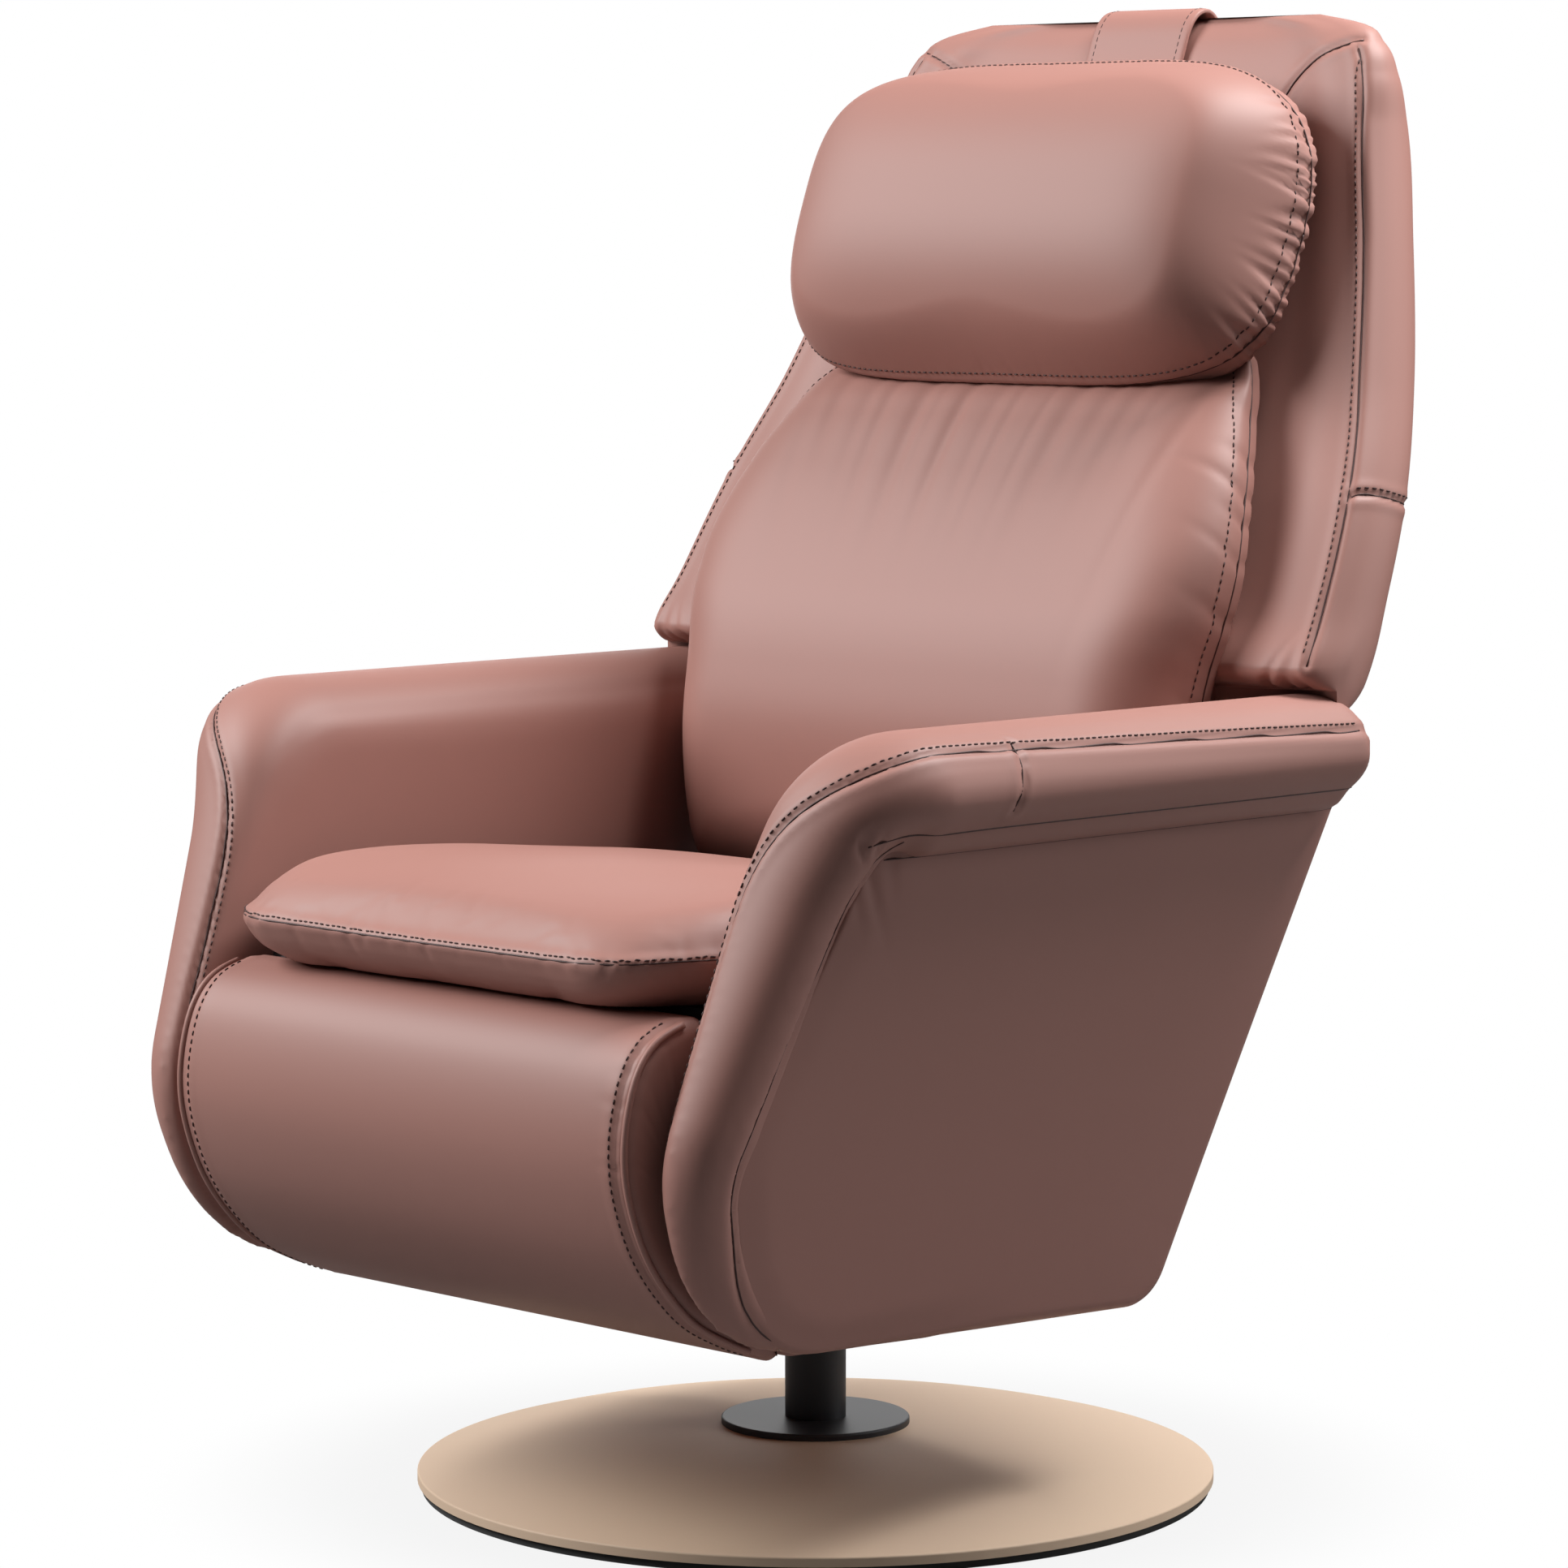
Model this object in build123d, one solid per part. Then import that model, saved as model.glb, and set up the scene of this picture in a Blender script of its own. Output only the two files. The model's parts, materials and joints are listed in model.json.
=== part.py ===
from build123d import *

import os
from math import cos, hypot, radians, sin

# Swivel recliner on a round disc base: a leather shell chair with padded sides, a
# reclining back, a leg rest that swings out of the front and a sliding head pillow.
# Millimetres, +Z up. The origin is where the swivel axis meets the floor. The chair
# faces -Y, and the sitter's left hand is on the +X side.

# ---------------------------------------------------------------- clearances
RUNNING_FIT = 0.06      # radial room of a pin or shaft that turns or slides
SEAT_GAP = 0.3          # room between soft faces that lie against each other
HOLE_ROOM = 0.15        # radial room of a bolt in its hole
YOKE_ROOM = 2.4         # side room of a drive pin in its slotted yoke

BEYOND = 1500.0         # further out than any surface, for shapes that only cut
SLAB_MARGIN = 24.0      # how far the sides' cutting slabs pass their lower and upper ends

# ---------------------------------------------------------------- room between the sides
INNER_AT_BOTTOM = 246.0 # x of a side's inner face at its lower edge
INNER_AT_TOP = 262.0    # and at the top of the arm

# ---------------------------------------------------------------- disc base
SOLE_THICKNESS = 6.0
SOLE_INSET = 3.0
DISC_RADIUS = 300.0
DISC_RIM = 7.0          # height of the disc's edge; its top is a shallow dome above that
DISC_THICKNESS = 39.0
DISC_FLAT_RADIUS = 75.0
DISC_EDGE = 1.5
BALLAST_RADIUS = 200.0
BALLAST_THICKNESS = 12.0
FLANGE_RADIUS = 71.0
FLANGE_THICKNESS = 5.0
FLANGE_EDGE = 1.5
COLUMN_RADIUS = 23.0
COLUMN_WALL = 3.5
COLUMN_LENGTH = 123.0
BUSH_LENGTH = 20.0
SPINDLE_RADIUS = 15.0
SPINDLE_LENGTH = 130.0
CLIP_RADIUS = 18.0
CLIP_THICKNESS = 2.0
WASHER_THICKNESS = 3.0
BASE_SCREW_RADIUS = 4.0
BASE_SCREW_HEAD = 8.0
BASE_SCREW_CIRCLE = 50.0
BASE_SCREW_COUNT = 4

SOLE_TOP = SOLE_THICKNESS
DISC_TOP = SOLE_TOP + DISC_THICKNESS
FLANGE_TOP = DISC_TOP + FLANGE_THICKNESS
COLUMN_TOP = DISC_TOP + COLUMN_LENGTH
COLUMN_BORE = COLUMN_RADIUS - COLUMN_WALL

# ---------------------------------------------------------------- steel seat frame
HUB_HALF_WIDTH = 125.0
HUB_FRONT = -120.0
HUB_REAR = 22.0
HUB_THICKNESS = 8.0
HUB_BOLT_RADIUS = 5.0
HUB_BOLT_HEAD = 8.0
TOWER_X = 104.0         # inner face of each tower plate
TOWER_PLATE = 5.0
TOWER_FRONT = -165.0
TOWER_REAR = 46.0
TOWER_FOOT = 30.0
TOWER_NECK = 110.0      # height over which the walls widen from the foot to full length
TOWER_HEEL = 36.0       # height of the cut at the lower rear corner
DRIVE_BAR_HEIGHT = 30.0
RAIL_BOTTOM = 390.0
RAIL_HEIGHT = 22.0
RAIL_OUTSET = 3.0       # rails lie that far outside the sides' lower inner edges, which lean out
RAIL_WIDTH = 21.0
RAIL_FRONT = -318.0
RAIL_REAR = 60.0
CROSSBAR_WIDTH = 22.0
CROSSBAR_REARS = (-296.0, -130.0, 42.0)
WEBBING_THICKNESS = 2.0
WEBBING_WIDTH = 50.0
WEBBING_PITCH = 68.0
WEBBING_COUNT = 5
BRACKET_ANCHOR = 44.0   # length of a pivot bracket along its rail
RECLINE_BRACKET_RISE = 88.0   # y behind the seat cushion where the bracket may rise
BRACKET_THICKNESS = 6.0
PIVOT_TUBE_RADIUS = 10.0
PIVOT_PIN_RADIUS = 6.0
PIVOT_PIN_DEPTH = 20.0
PIVOT_PIN_HEAD = 9.0
BRACKET_MARGIN = 7.0    # bracket metal left round a pivot tube
DRIVE_PIN_RADIUS = 5.0
LEVER_ROOM = 0.5        # room on each side of a rod between its lever's plates
LEVER_THICKNESS = 5.0
LEVER_X = {"legrest": 0.0, "recline": 60.0}
GEARBOX_FRONT = {"legrest": -78.0, "recline": -158.0}
LEVER_RADIUS = 11.0
YOKE_HALF_THICKNESS = 3.0
YOKE_RIM = 7.0
ROD_RADIUS = 7.0
DRIVE_TUBE_RADIUS = 12.5
GEARBOX_LENGTH = 44.0
GEARBOX_HALF_WIDTH = 20.0
GEARBOX_HALF_HEIGHT = 22.0
MOTOR_RADIUS = 17.0
MOTOR_LENGTH = 62.0
BATTERY_SIZE = (150.0, 70.0, 50.0)
BATTERY_FRONT = -70.0

RAIL_TOP = RAIL_BOTTOM + RAIL_HEIGHT
RAIL_OUTER = INNER_AT_BOTTOM + RAIL_OUTSET
RAIL_INNER = RAIL_OUTER - RAIL_WIDTH
HUB_BOTTOM = COLUMN_TOP + WASHER_THICKNESS + SEAT_GAP
HUB_TOP = HUB_BOTTOM + HUB_THICKNESS
LEVER_HALF_GAP = ROD_RADIUS + LEVER_ROOM
BRACKET_INNER = RAIL_INNER - BRACKET_THICKNESS
TUBE_HALF_LENGTH = BRACKET_INNER - 2 * SEAT_GAP

# ---------------------------------------------------------------- moving axes (y, z)
LEGREST_PIVOT = (-338.0, 392.0)
LEGREST_SWING = 84.0
LEGREST_LEVER = 55.0
RECLINE_PIVOT = (135.0, 430.0)
RECLINE_SWING = 30.0
RECLINE_LEVER = 80.0
RECLINE_LEVER_REST = 30.0   # lever's angle forward of straight down, at rest

# ---------------------------------------------------------------- sides and arms
SIDE_TOP = 545.0
ARM_TOP = 605.0
SIDE_BOTTOM = 183.0     # height at which the sides' lower widths are measured
SIDE_OUTLINE = (
    (203, ARM_TOP), (-303, ARM_TOP), (-414, 315), (-374, 182), (76, 164), (205, 540))
SIDE_RADII = (18, 92, 110, 135, 36, 24)
BAND_DEPTH = 36.0
BAND_END = -300.0       # y where the front band ends under the side
SIDE_WIDTH_AT_BOTTOM = 27.0
SIDE_WIDTH_AT_TOP = 86.0
LINER_THICKNESS = 9.0
BOARD_THICKNESS = 10.0
PANEL_EDGE = 4.0
BAND_EDGE = 16.0        # rounding of the band outside
BAND_INNER_EDGE = 7.0   # and beside the leg rest
ARM_TOP_WIDTH = 100.0
ROLL_OVERHANG = 16.0
ROLL_SEAM_DROP = 16.0
ARM_FRONT = -333.0
ARM_REAR = 200.0
ARM_FRONT_CORNER = 78.0
ARM_REAR_CORNER = 22.0
SIDE_BOLT_RADIUS = 4.0
SIDE_BOLT_HEAD = 8.0
SIDE_BOLT_PLACES = (-225.0, -90.0, -10.0)

BAND_OUTER_AT_BOTTOM = INNER_AT_BOTTOM + SIDE_WIDTH_AT_BOTTOM
BAND_OUTER_AT_TOP = INNER_AT_TOP + SIDE_WIDTH_AT_TOP
ROLL_SEAM_X = INNER_AT_TOP + ARM_TOP_WIDTH
ROLL_OUTER = ROLL_SEAM_X + ROLL_OVERHANG

# ---------------------------------------------------------------- under covers
BELLY_FRONT = -271.0
BELLY_SIDE_ROOM = 4.0
COVER_THICKNESS = 10.0
COLUMN_HOLE_RADIUS = 31.0
BELLY_CORNER_RADIUS = 30.0
REAR_PANEL_TOP = (150.0, 414.0)
REAR_CORNER_Y = 64.0
BELLY_BEND_Y = -130.0   # the belly rises a little in front of this
BELLY_FRONT_RISE = 7.0
COVER_SPLIT_Z = 208.0

BELLY_BOTTOM = HUB_BOTTOM - SEAT_GAP - COVER_THICKNESS
BELLY_HALF_WIDTH = INNER_AT_BOTTOM - BELLY_SIDE_ROOM

# ---------------------------------------------------------------- leg rest
LEGREST_SIDE_ROOM = 10.0
LEGREST_EDGE = 9.0
LEGREST_FACE = ((-366, 404), (-402, 384), (-417, 346), (-413, 300), (-394, 250), (-352, 199), (-276, 165))
LEGREST_BACK_X = -352.0
LEGREST_BOARD_THICKNESS = 12.0
LEGREST_BOARD_TOP = 376.0
LEGREST_BOARD_BOTTOM = 228.0
ARM_BAR_X = 120.0
ARM_BAR_WIDTH = 8.0
ARM_BAR_DEPTH = 10.0
ARM_BAR_BOTTOM = 230.0
RUNNER_WIDTH = 22.0
RUNNER_WALL = 4.0
RUNNER_TOP = 374.0
RUNNER_BOTTOM = 262.0
RUNNER_SLIP = 0.2

LEGREST_HALF_WIDTH = INNER_AT_BOTTOM - LEGREST_SIDE_ROOM

# ---------------------------------------------------------------- seat cushion
# stations along Y: (y, inset from the sides' lower inner edges, bottom, top, crown)
SEAT_STATIONS = (
    (-399, 62, 438, 452, 2), (-389, 35, 427, 463, 4), (-360, 10, 416, 475, 9), (-296, 1, 411, 485, 14),
    (-160, 0, 411, 487, 21), (-20, 1, 411, 479, 31), (50, 4, 412, 465, 26), (82, 12, 418, 450, 14))

# ---------------------------------------------------------------- back
# levels of the winged shell: (z, half width, front y, rear y)
SHELL_LEVELS = (
    (616, 352, 168, 220), (670, 347, 191, 251), (740, 334, 223, 286), (830, 307, 267, 328),
    (930, 278, 306, 358), (1020, 252, 336, 382), (1062, 236, 351, 391), (1086, 217, 360, 394), (1101, 188, 370, 392))
SHELL_CORNER = 17.0
TONGUE_SIDE_ROOM = 8.0
TONGUE_BOTTOM = 470.0
TONGUE_FRONT = 150.0
TONGUE_REAR = 200.0
BACKBOARD_DEPTH = 20.0
BACKBOARD_THICKNESS = 12.0
BACKBOARD_INSET = 32.0
BACKBOARD_TOP = 1050.0
# levels of the back cushion: (z, inset from the sides' inner faces at arm height, front y, rear y, crown)
CUSHION_LEVELS = (
    (456, 40, 112, 146, 4), (476, 22, 88, 151.0, 10), (530, 15, 70, 158, 16), (590, 12, 72, 163, 18),
    (630, 0, 84, 172.5, 20), (690, -2, 108, 196, 24), (745, 12, 143, 222, 22), (790, 30, 175, 246, 16),
    (816, 40, 200, 260, 8), (850, 54, 250, 276, 4), (880, 72, 269, 289, 3))
LEAN = 20.0             # head pillow's lean from upright
PILLOW_CENTRE = (262.0, 944.0)
# sections along the pillow's height: (height, half width, front, back)
PILLOW_SECTIONS = (
    (-131, 196, 22, 4), (-122, 220, 46, 12), (-90, 238, 78, 19), (-30, 246, 96, 22), (40, 243, 94, 22),
    (88, 220, 72, 18), (118, 188, 40, 11), (131, 150, 18, 4))
STRAP_HALF_WIDTH = 50.0
STRAP_THICKNESS = 3.5
STRAP_ROOM = 0.8
STRAP_FRONT_BOTTOM = 990.0
STRAP_REAR_BOTTOM = 812.0
STRAP_EDGE_RISE = 14.0
WEIGHT_HALF_WIDTH = 110.0
WEIGHT_HEIGHT = 84.0
WEIGHT_THICKNESS = 22.0
WEIGHT_BOTTOM = 880.0
WEIGHT_ROOM = 2.6
PILLOW_ROOM = 0.5
HINGE_PLATE_X = 140.0
HINGE_PLATE_WIDTH = 28.0
HINGE_PLATE_FOOT = 6.0

TONGUE_HALF_WIDTH = INNER_AT_BOTTOM - TONGUE_SIDE_ROOM

# ---------------------------------------------------------------- touch switch
SWITCH_Y = -170.0
SWITCH_Z = 515.0
SWITCH_LENGTH = 84.0
SWITCH_HEIGHT = 24.0
SWITCH_DEPTH = 8.0
SWITCH_PROUD = 2.5
BUTTON_RADIUS = 6.0
BUTTON_PITCH = 19.0
BUTTON_PROUD = 1.6
BUTTON_TRAVEL = 1.2
BUTTON_COUNT = 4

FLOOR_UP = (Align.CENTER, Align.CENTER, Align.MIN)


# ---------------------------------------------------------------- helpers
def block(x0, x1, y0, y1, z0, z1):
    """A box between opposite corners."""
    return Pos(x0, y0, z0) * Box(x1 - x0, y1 - y0, z1 - z0, align=(Align.MIN, Align.MIN, Align.MIN))


def post(radius, z0, z1, x=0.0, y=0.0):
    """An upright cylinder."""
    return Pos(x, y, z0) * Cylinder(radius, z1 - z0, align=FLOOR_UP)


def bar_x(radius, x0, x1, y, z):
    """A cylinder along X."""
    return Pos(x0, y, z) * Rot(0, 90, 0) * Cylinder(radius, x1 - x0, align=FLOOR_UP)


def bar_y(radius, y0, y1, x, z):
    """A cylinder along Y."""
    return Pos(x, y0, z) * Rot(-90, 0, 0) * Cylinder(radius, y1 - y0, align=FLOOR_UP)


def plate_x(outline, x0, x1):
    """A face in the YZ plane, drawn out from x0 to x1."""
    return Pos(x0, 0, 0) * extrude(Plane.YZ * outline, amount=x1 - x0)


def polygon(points):
    """A flat face with straight edges."""
    return make_face(Polyline(*points, close=True))


def mirrored(shape):
    """The same shape on the other side of the chair."""
    return mirror(shape, about=Plane.YZ)


def pair(shape):
    """Both sides' shapes as separate solids of one group."""
    return Compound(children=shape.solids() + mirrored(shape).solids())


def turned(centre, reach, degrees_forward):
    """The (y, z) of a point that hangs from a pivot, swung forward of straight down."""
    angle = radians(degrees_forward)
    return (centre[0] - reach * sin(angle), centre[1] - reach * cos(angle))


def line_at(z, x_bottom, x_top):
    """The x of a side face at height z; side faces lean between SIDE_BOTTOM and ARM_TOP."""
    return x_bottom + (x_top - x_bottom) * (z - SIDE_BOTTOM) / (ARM_TOP - SIDE_BOTTOM)


def soft_face(half_width, low, high, crown, low_corner, high_corner):
    """A cushion's cross-section: flat below, rounded corners, and a crowned upper edge."""
    shoulder = high - crown
    low_turn = low_corner * (1 - cos(radians(45)))
    high_turn = high_corner * (1 - cos(radians(45)))
    right = (
        Line((0, low), (half_width - low_corner, low))
        + ThreePointArc(
            (half_width - low_corner, low), (half_width - low_turn, low + low_turn), (half_width, low + low_corner)
        )
        + Line((half_width, low + low_corner), (half_width, shoulder - high_corner))
        + ThreePointArc(
            (half_width, shoulder - high_corner),
            (half_width - high_turn, shoulder - high_turn),
            (half_width - high_corner, shoulder),
        )
    )
    left = mirror(right, about=Plane.YZ)
    top = ThreePointArc((half_width - high_corner, shoulder), (0, high), (high_corner - half_width, shoulder))
    return make_face(right + top + left)


# ---------------------------------------------------------------- disc base
def base_screw_places():
    """Centres of the screws that hold the column flange."""
    return [loc.position for loc in PolarLocations(BASE_SCREW_CIRCLE, BASE_SCREW_COUNT, start_angle=45)]


def base_screw(radius_room):
    """One countersunk screw, or its hole when it is given room."""
    shank = post(BASE_SCREW_RADIUS + radius_room, SOLE_TOP, FLANGE_TOP - 1)
    head_height = BASE_SCREW_HEAD - BASE_SCREW_RADIUS
    head = Pos(0, 0, SOLE_TOP) * Cone(
        BASE_SCREW_HEAD + radius_room, BASE_SCREW_RADIUS + radius_room, head_height, align=FLOOR_UP
    )
    return shank + head


def drilled(shape):
    """The shape with the base screws' holes in it."""
    for place in base_screw_places():
        shape -= Pos(place.X, place.Y, 0) * base_screw(HOLE_ROOM)
    return shape


def base_parts():
    """Sole, oak disc, ballast, column and what the swivel runs in."""
    sole = post(DISC_RADIUS - SOLE_INSET, 0, SOLE_TOP)
    ballast_top = SOLE_TOP + BALLAST_THICKNESS
    ballast = drilled(post(BALLAST_RADIUS, SOLE_TOP, ballast_top))
    rim_top = SOLE_TOP + DISC_RIM
    half_section = make_face(
        TangentArc((DISC_FLAT_RADIUS, DISC_TOP), (DISC_RADIUS, rim_top), tangent=(1, 0))
        + Polyline(
            (DISC_RADIUS, rim_top), (DISC_RADIUS, SOLE_TOP), (0, SOLE_TOP), (0, DISC_TOP),
            (DISC_FLAT_RADIUS, DISC_TOP)
        )
    )
    disc = revolve(Plane.XZ * half_section, Axis.Z)
    disc = fillet(disc.edges().filter_by_position(Axis.Z, rim_top - 1, rim_top + 1), DISC_EDGE)
    disc = drilled(disc - post(BALLAST_RADIUS + RUNNING_FIT, SOLE_TOP, ballast_top))
    disc -= post(COLUMN_RADIUS - COLUMN_WALL, ballast_top, DISC_TOP)
    flange = post(FLANGE_RADIUS, DISC_TOP, FLANGE_TOP)
    flange = fillet(flange.edges().group_by(Axis.Z)[-1], FLANGE_EDGE)
    flange = drilled(flange - post(COLUMN_RADIUS, DISC_TOP, FLANGE_TOP))
    column = post(COLUMN_RADIUS, DISC_TOP, COLUMN_TOP) - post(COLUMN_BORE, DISC_TOP, COLUMN_TOP)
    bush = post(COLUMN_BORE, 0, BUSH_LENGTH) - post(SPINDLE_RADIUS + RUNNING_FIT, 0, BUSH_LENGTH)
    lower_bush_z = HUB_BOTTOM - SPINDLE_LENGTH + 2 * CLIP_THICKNESS + SEAT_GAP
    washer = post(COLUMN_RADIUS, COLUMN_TOP, COLUMN_TOP + WASHER_THICKNESS)
    washer -= post(SPINDLE_RADIUS + HOLE_ROOM, COLUMN_TOP, COLUMN_TOP + WASHER_THICKNESS)
    screws = Compound(children=[Pos(p.X, p.Y, 0) * base_screw(0) for p in base_screw_places()])
    return {
        "base_sole": sole,
        "base_weight_plate": ballast,
        "base_disc": disc,
        "column_flange": flange,
        "column_tube": column,
        "column_bushes": Compound(
            children=[Pos(0, 0, z) * bush for z in (lower_bush_z, COLUMN_TOP - BUSH_LENGTH)]
        ),
        "thrust_washer": washer,
        "base_screws": screws,
    }


# ---------------------------------------------------------------- steel under the seat
def hub_bolt_places():
    """Centres of the bolts through the tower feet."""
    x = TOWER_X + TOWER_PLATE - TOWER_FOOT / 2
    ends = (HUB_FRONT + TOWER_FOOT / 2, HUB_REAR - TOWER_FOOT / 2)
    return [(side * x, y) for side in (-1, 1) for y in ends]


def swivel_parts():
    """Spindle, its clip, the hub plate and the hub's bolts."""
    spindle_bottom = HUB_BOTTOM - SPINDLE_LENGTH
    groove = post(SPINDLE_RADIUS, spindle_bottom + CLIP_THICKNESS, spindle_bottom + 2 * CLIP_THICKNESS)
    neck_radius = SPINDLE_RADIUS - CLIP_THICKNESS
    groove -= post(neck_radius, spindle_bottom, spindle_bottom + 3 * CLIP_THICKNESS)
    spindle = post(SPINDLE_RADIUS, spindle_bottom, HUB_BOTTOM) - groove
    clip = post(CLIP_RADIUS, spindle_bottom + CLIP_THICKNESS, spindle_bottom + 2 * CLIP_THICKNESS)
    clip -= post(neck_radius, spindle_bottom, spindle_bottom + 3 * CLIP_THICKNESS)
    hub = block(-HUB_HALF_WIDTH, HUB_HALF_WIDTH, HUB_FRONT, HUB_REAR, HUB_BOTTOM, HUB_TOP)
    hub = fillet(hub.edges().filter_by(Axis.Z), TOWER_FOOT / 2)
    bolts = []
    for x, y in hub_bolt_places():
        hub -= post(HUB_BOLT_RADIUS + HOLE_ROOM, HUB_BOTTOM, HUB_TOP, x, y)
        bolt = post(HUB_BOLT_RADIUS, HUB_BOTTOM, HUB_TOP + TOWER_PLATE, x, y)
        bolt += post(HUB_BOLT_HEAD, HUB_TOP + TOWER_PLATE, HUB_TOP + TOWER_PLATE + HUB_BOLT_RADIUS, x, y)
        bolts.append(bolt)
    return {"swivel_spindle": spindle, "spindle_clip": clip, "hub_plate": hub, "hub_bolts": Compound(children=bolts)}


def tower_parts():
    """Two bent plates that stand on the hub plate, with the bars that carry the drives."""
    outer = TOWER_X + TOWER_PLATE
    wall = polygon(
        [
            (HUB_FRONT, HUB_TOP), (HUB_REAR, HUB_TOP), (TOWER_REAR, HUB_TOP + TOWER_HEEL),
            (TOWER_REAR, RAIL_BOTTOM), (TOWER_FRONT, RAIL_BOTTOM), (TOWER_FRONT, HUB_TOP + TOWER_NECK)
        ]
    )
    foot = block(outer - TOWER_FOOT, outer, HUB_FRONT, HUB_REAR, HUB_TOP, HUB_TOP + TOWER_PLATE)
    plate = plate_x(wall, TOWER_X, outer) + foot
    for x, y in hub_bolt_places():
        plate -= post(HUB_BOLT_RADIUS + HOLE_ROOM, HUB_TOP, HUB_TOP + TOWER_PLATE, x, y)
    behind_legrest_drive = GEARBOX_FRONT["legrest"] + GEARBOX_LENGTH
    ahead_of_recline_drive = GEARBOX_FRONT["recline"] - TOWER_PLATE
    bars = []
    heights = (legrest_drive_z() - TOWER_PLATE, recline_drive_z())
    for y, middle in zip((behind_legrest_drive, ahead_of_recline_drive), heights):
        low = middle - DRIVE_BAR_HEIGHT / 2
        bars.append(block(-TOWER_X, TOWER_X, y, y + TOWER_PLATE, low, low + DRIVE_BAR_HEIGHT))
    return {"tower_plates": pair(plate), "tower_crossbars": Compound(children=bars)}


def rail_parts():
    """Side rails, cross bars and the webbing under the seat cushion."""
    rail = block(RAIL_INNER, RAIL_OUTER, RAIL_FRONT, RAIL_REAR, RAIL_BOTTOM, RAIL_TOP)
    rail = fillet(rail.edges().filter_by(Axis.Y), WEBBING_THICKNESS)
    for y in SIDE_BOLT_PLACES:
        rail -= bar_x(SIDE_BOLT_RADIUS + HOLE_ROOM, RAIL_INNER, RAIL_OUTER, y, rail_middle())
    bars = []
    for rear, half in zip(CROSSBAR_REARS, (BRACKET_INNER, RAIL_INNER, BRACKET_INNER)):
        bars.append(block(-half, half, rear - CROSSBAR_WIDTH, rear, RAIL_BOTTOM, RAIL_TOP))
    straps = []
    first = RAIL_FRONT + WEBBING_WIDTH / 2
    for number in range(WEBBING_COUNT):
        y = first + number * WEBBING_PITCH
        straps.append(
            block(-RAIL_OUTER, RAIL_OUTER, y, y + WEBBING_WIDTH, RAIL_TOP, RAIL_TOP + WEBBING_THICKNESS)
        )
    return {
        "seat_rails": pair(rail),
        "seat_crossbars": Compound(children=bars),
        "seat_webbing": Compound(children=straps),
    }


def rail_middle():
    """Height of the bolts through the side rails."""
    return (RAIL_BOTTOM + RAIL_TOP) / 2


def pivot_bracket(pivot, anchor_start, anchor_end, rise):
    """A flat plate from the inside of a side rail to a pivot; its top is level up to rise."""
    reach = PIVOT_TUBE_RADIUS + BRACKET_MARGIN / 2
    eye = bar_x(reach, BRACKET_INNER, RAIL_INNER, *pivot)
    arm = polygon(
        [
            (anchor_start, RAIL_BOTTOM + 1), (anchor_end, RAIL_BOTTOM + 1), (pivot[0], pivot[1] - reach),
            (pivot[0], pivot[1] + reach), (rise, RAIL_TOP - 1), (anchor_start, RAIL_TOP - 1)
        ]
    )
    plate = plate_x(arm, BRACKET_INNER, RAIL_INNER) + eye
    return plate - bar_x(PIVOT_PIN_RADIUS, BRACKET_INNER, RAIL_INNER, *pivot)


def pivot_pin(pivot):
    """A headed pin through a bracket into the end of a pivot tube."""
    inner = TUBE_HALF_LENGTH - PIVOT_PIN_DEPTH
    pin = bar_x(PIVOT_PIN_RADIUS, inner + SEAT_GAP, RAIL_INNER, *pivot)
    return pin + bar_x(PIVOT_PIN_HEAD, RAIL_INNER, RAIL_INNER + BRACKET_THICKNESS / 2, *pivot)


def pivot_tube(pivot, arm):
    """A cross tube that turns on two pivot pins, with its lever welded on."""
    tube = bar_x(PIVOT_TUBE_RADIUS, -TUBE_HALF_LENGTH, TUBE_HALF_LENGTH, *pivot)
    inner = TUBE_HALF_LENGTH - PIVOT_PIN_DEPTH
    bore = bar_x(PIVOT_PIN_RADIUS + RUNNING_FIT, inner, TUBE_HALF_LENGTH, *pivot)
    return tube + arm - bore - mirrored(bore)


def pivot_parts():
    """Brackets and pins of the leg rest and of the reclining back."""
    front = pivot_bracket(LEGREST_PIVOT, RAIL_FRONT + BRACKET_ANCHOR, RAIL_FRONT, RAIL_FRONT)
    rear = pivot_bracket(RECLINE_PIVOT, RAIL_REAR - BRACKET_ANCHOR, RAIL_REAR, RECLINE_BRACKET_RISE)
    return {
        "legrest_brackets": pair(front),
        "recline_brackets": pair(rear),
        "pivot_pins": pair(Compound(children=[pivot_pin(LEGREST_PIVOT), pivot_pin(RECLINE_PIVOT)])),
    }


# ---------------------------------------------------------------- linear drives
def legrest_lever_angles():
    """Lever angles forward of straight down: the swing is shared about the vertical."""
    return -LEGREST_SWING / 2, LEGREST_SWING / 2


def recline_lever_angles():
    """The back's lever hangs forward and swings further forward as the back goes down."""
    return RECLINE_LEVER_REST, RECLINE_LEVER_REST + RECLINE_SWING


def pin_heights(pivot, reach, angles):
    """Lowest and highest z that a lever's pin reaches in its swing."""
    ends = [turned(pivot, reach, angle)[1] for angle in angles]
    if angles[0] < 0 < angles[1]:
        ends.append(pivot[1] - reach)
    return min(ends), max(ends)


def legrest_drive_z():
    """Height of the leg rest's rod."""
    return sum(pin_heights(LEGREST_PIVOT, LEGREST_LEVER, legrest_lever_angles())) / 2


def recline_drive_z():
    """Height of the back's rod."""
    return sum(pin_heights(RECLINE_PIVOT, RECLINE_LEVER, recline_lever_angles())) / 2


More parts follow.
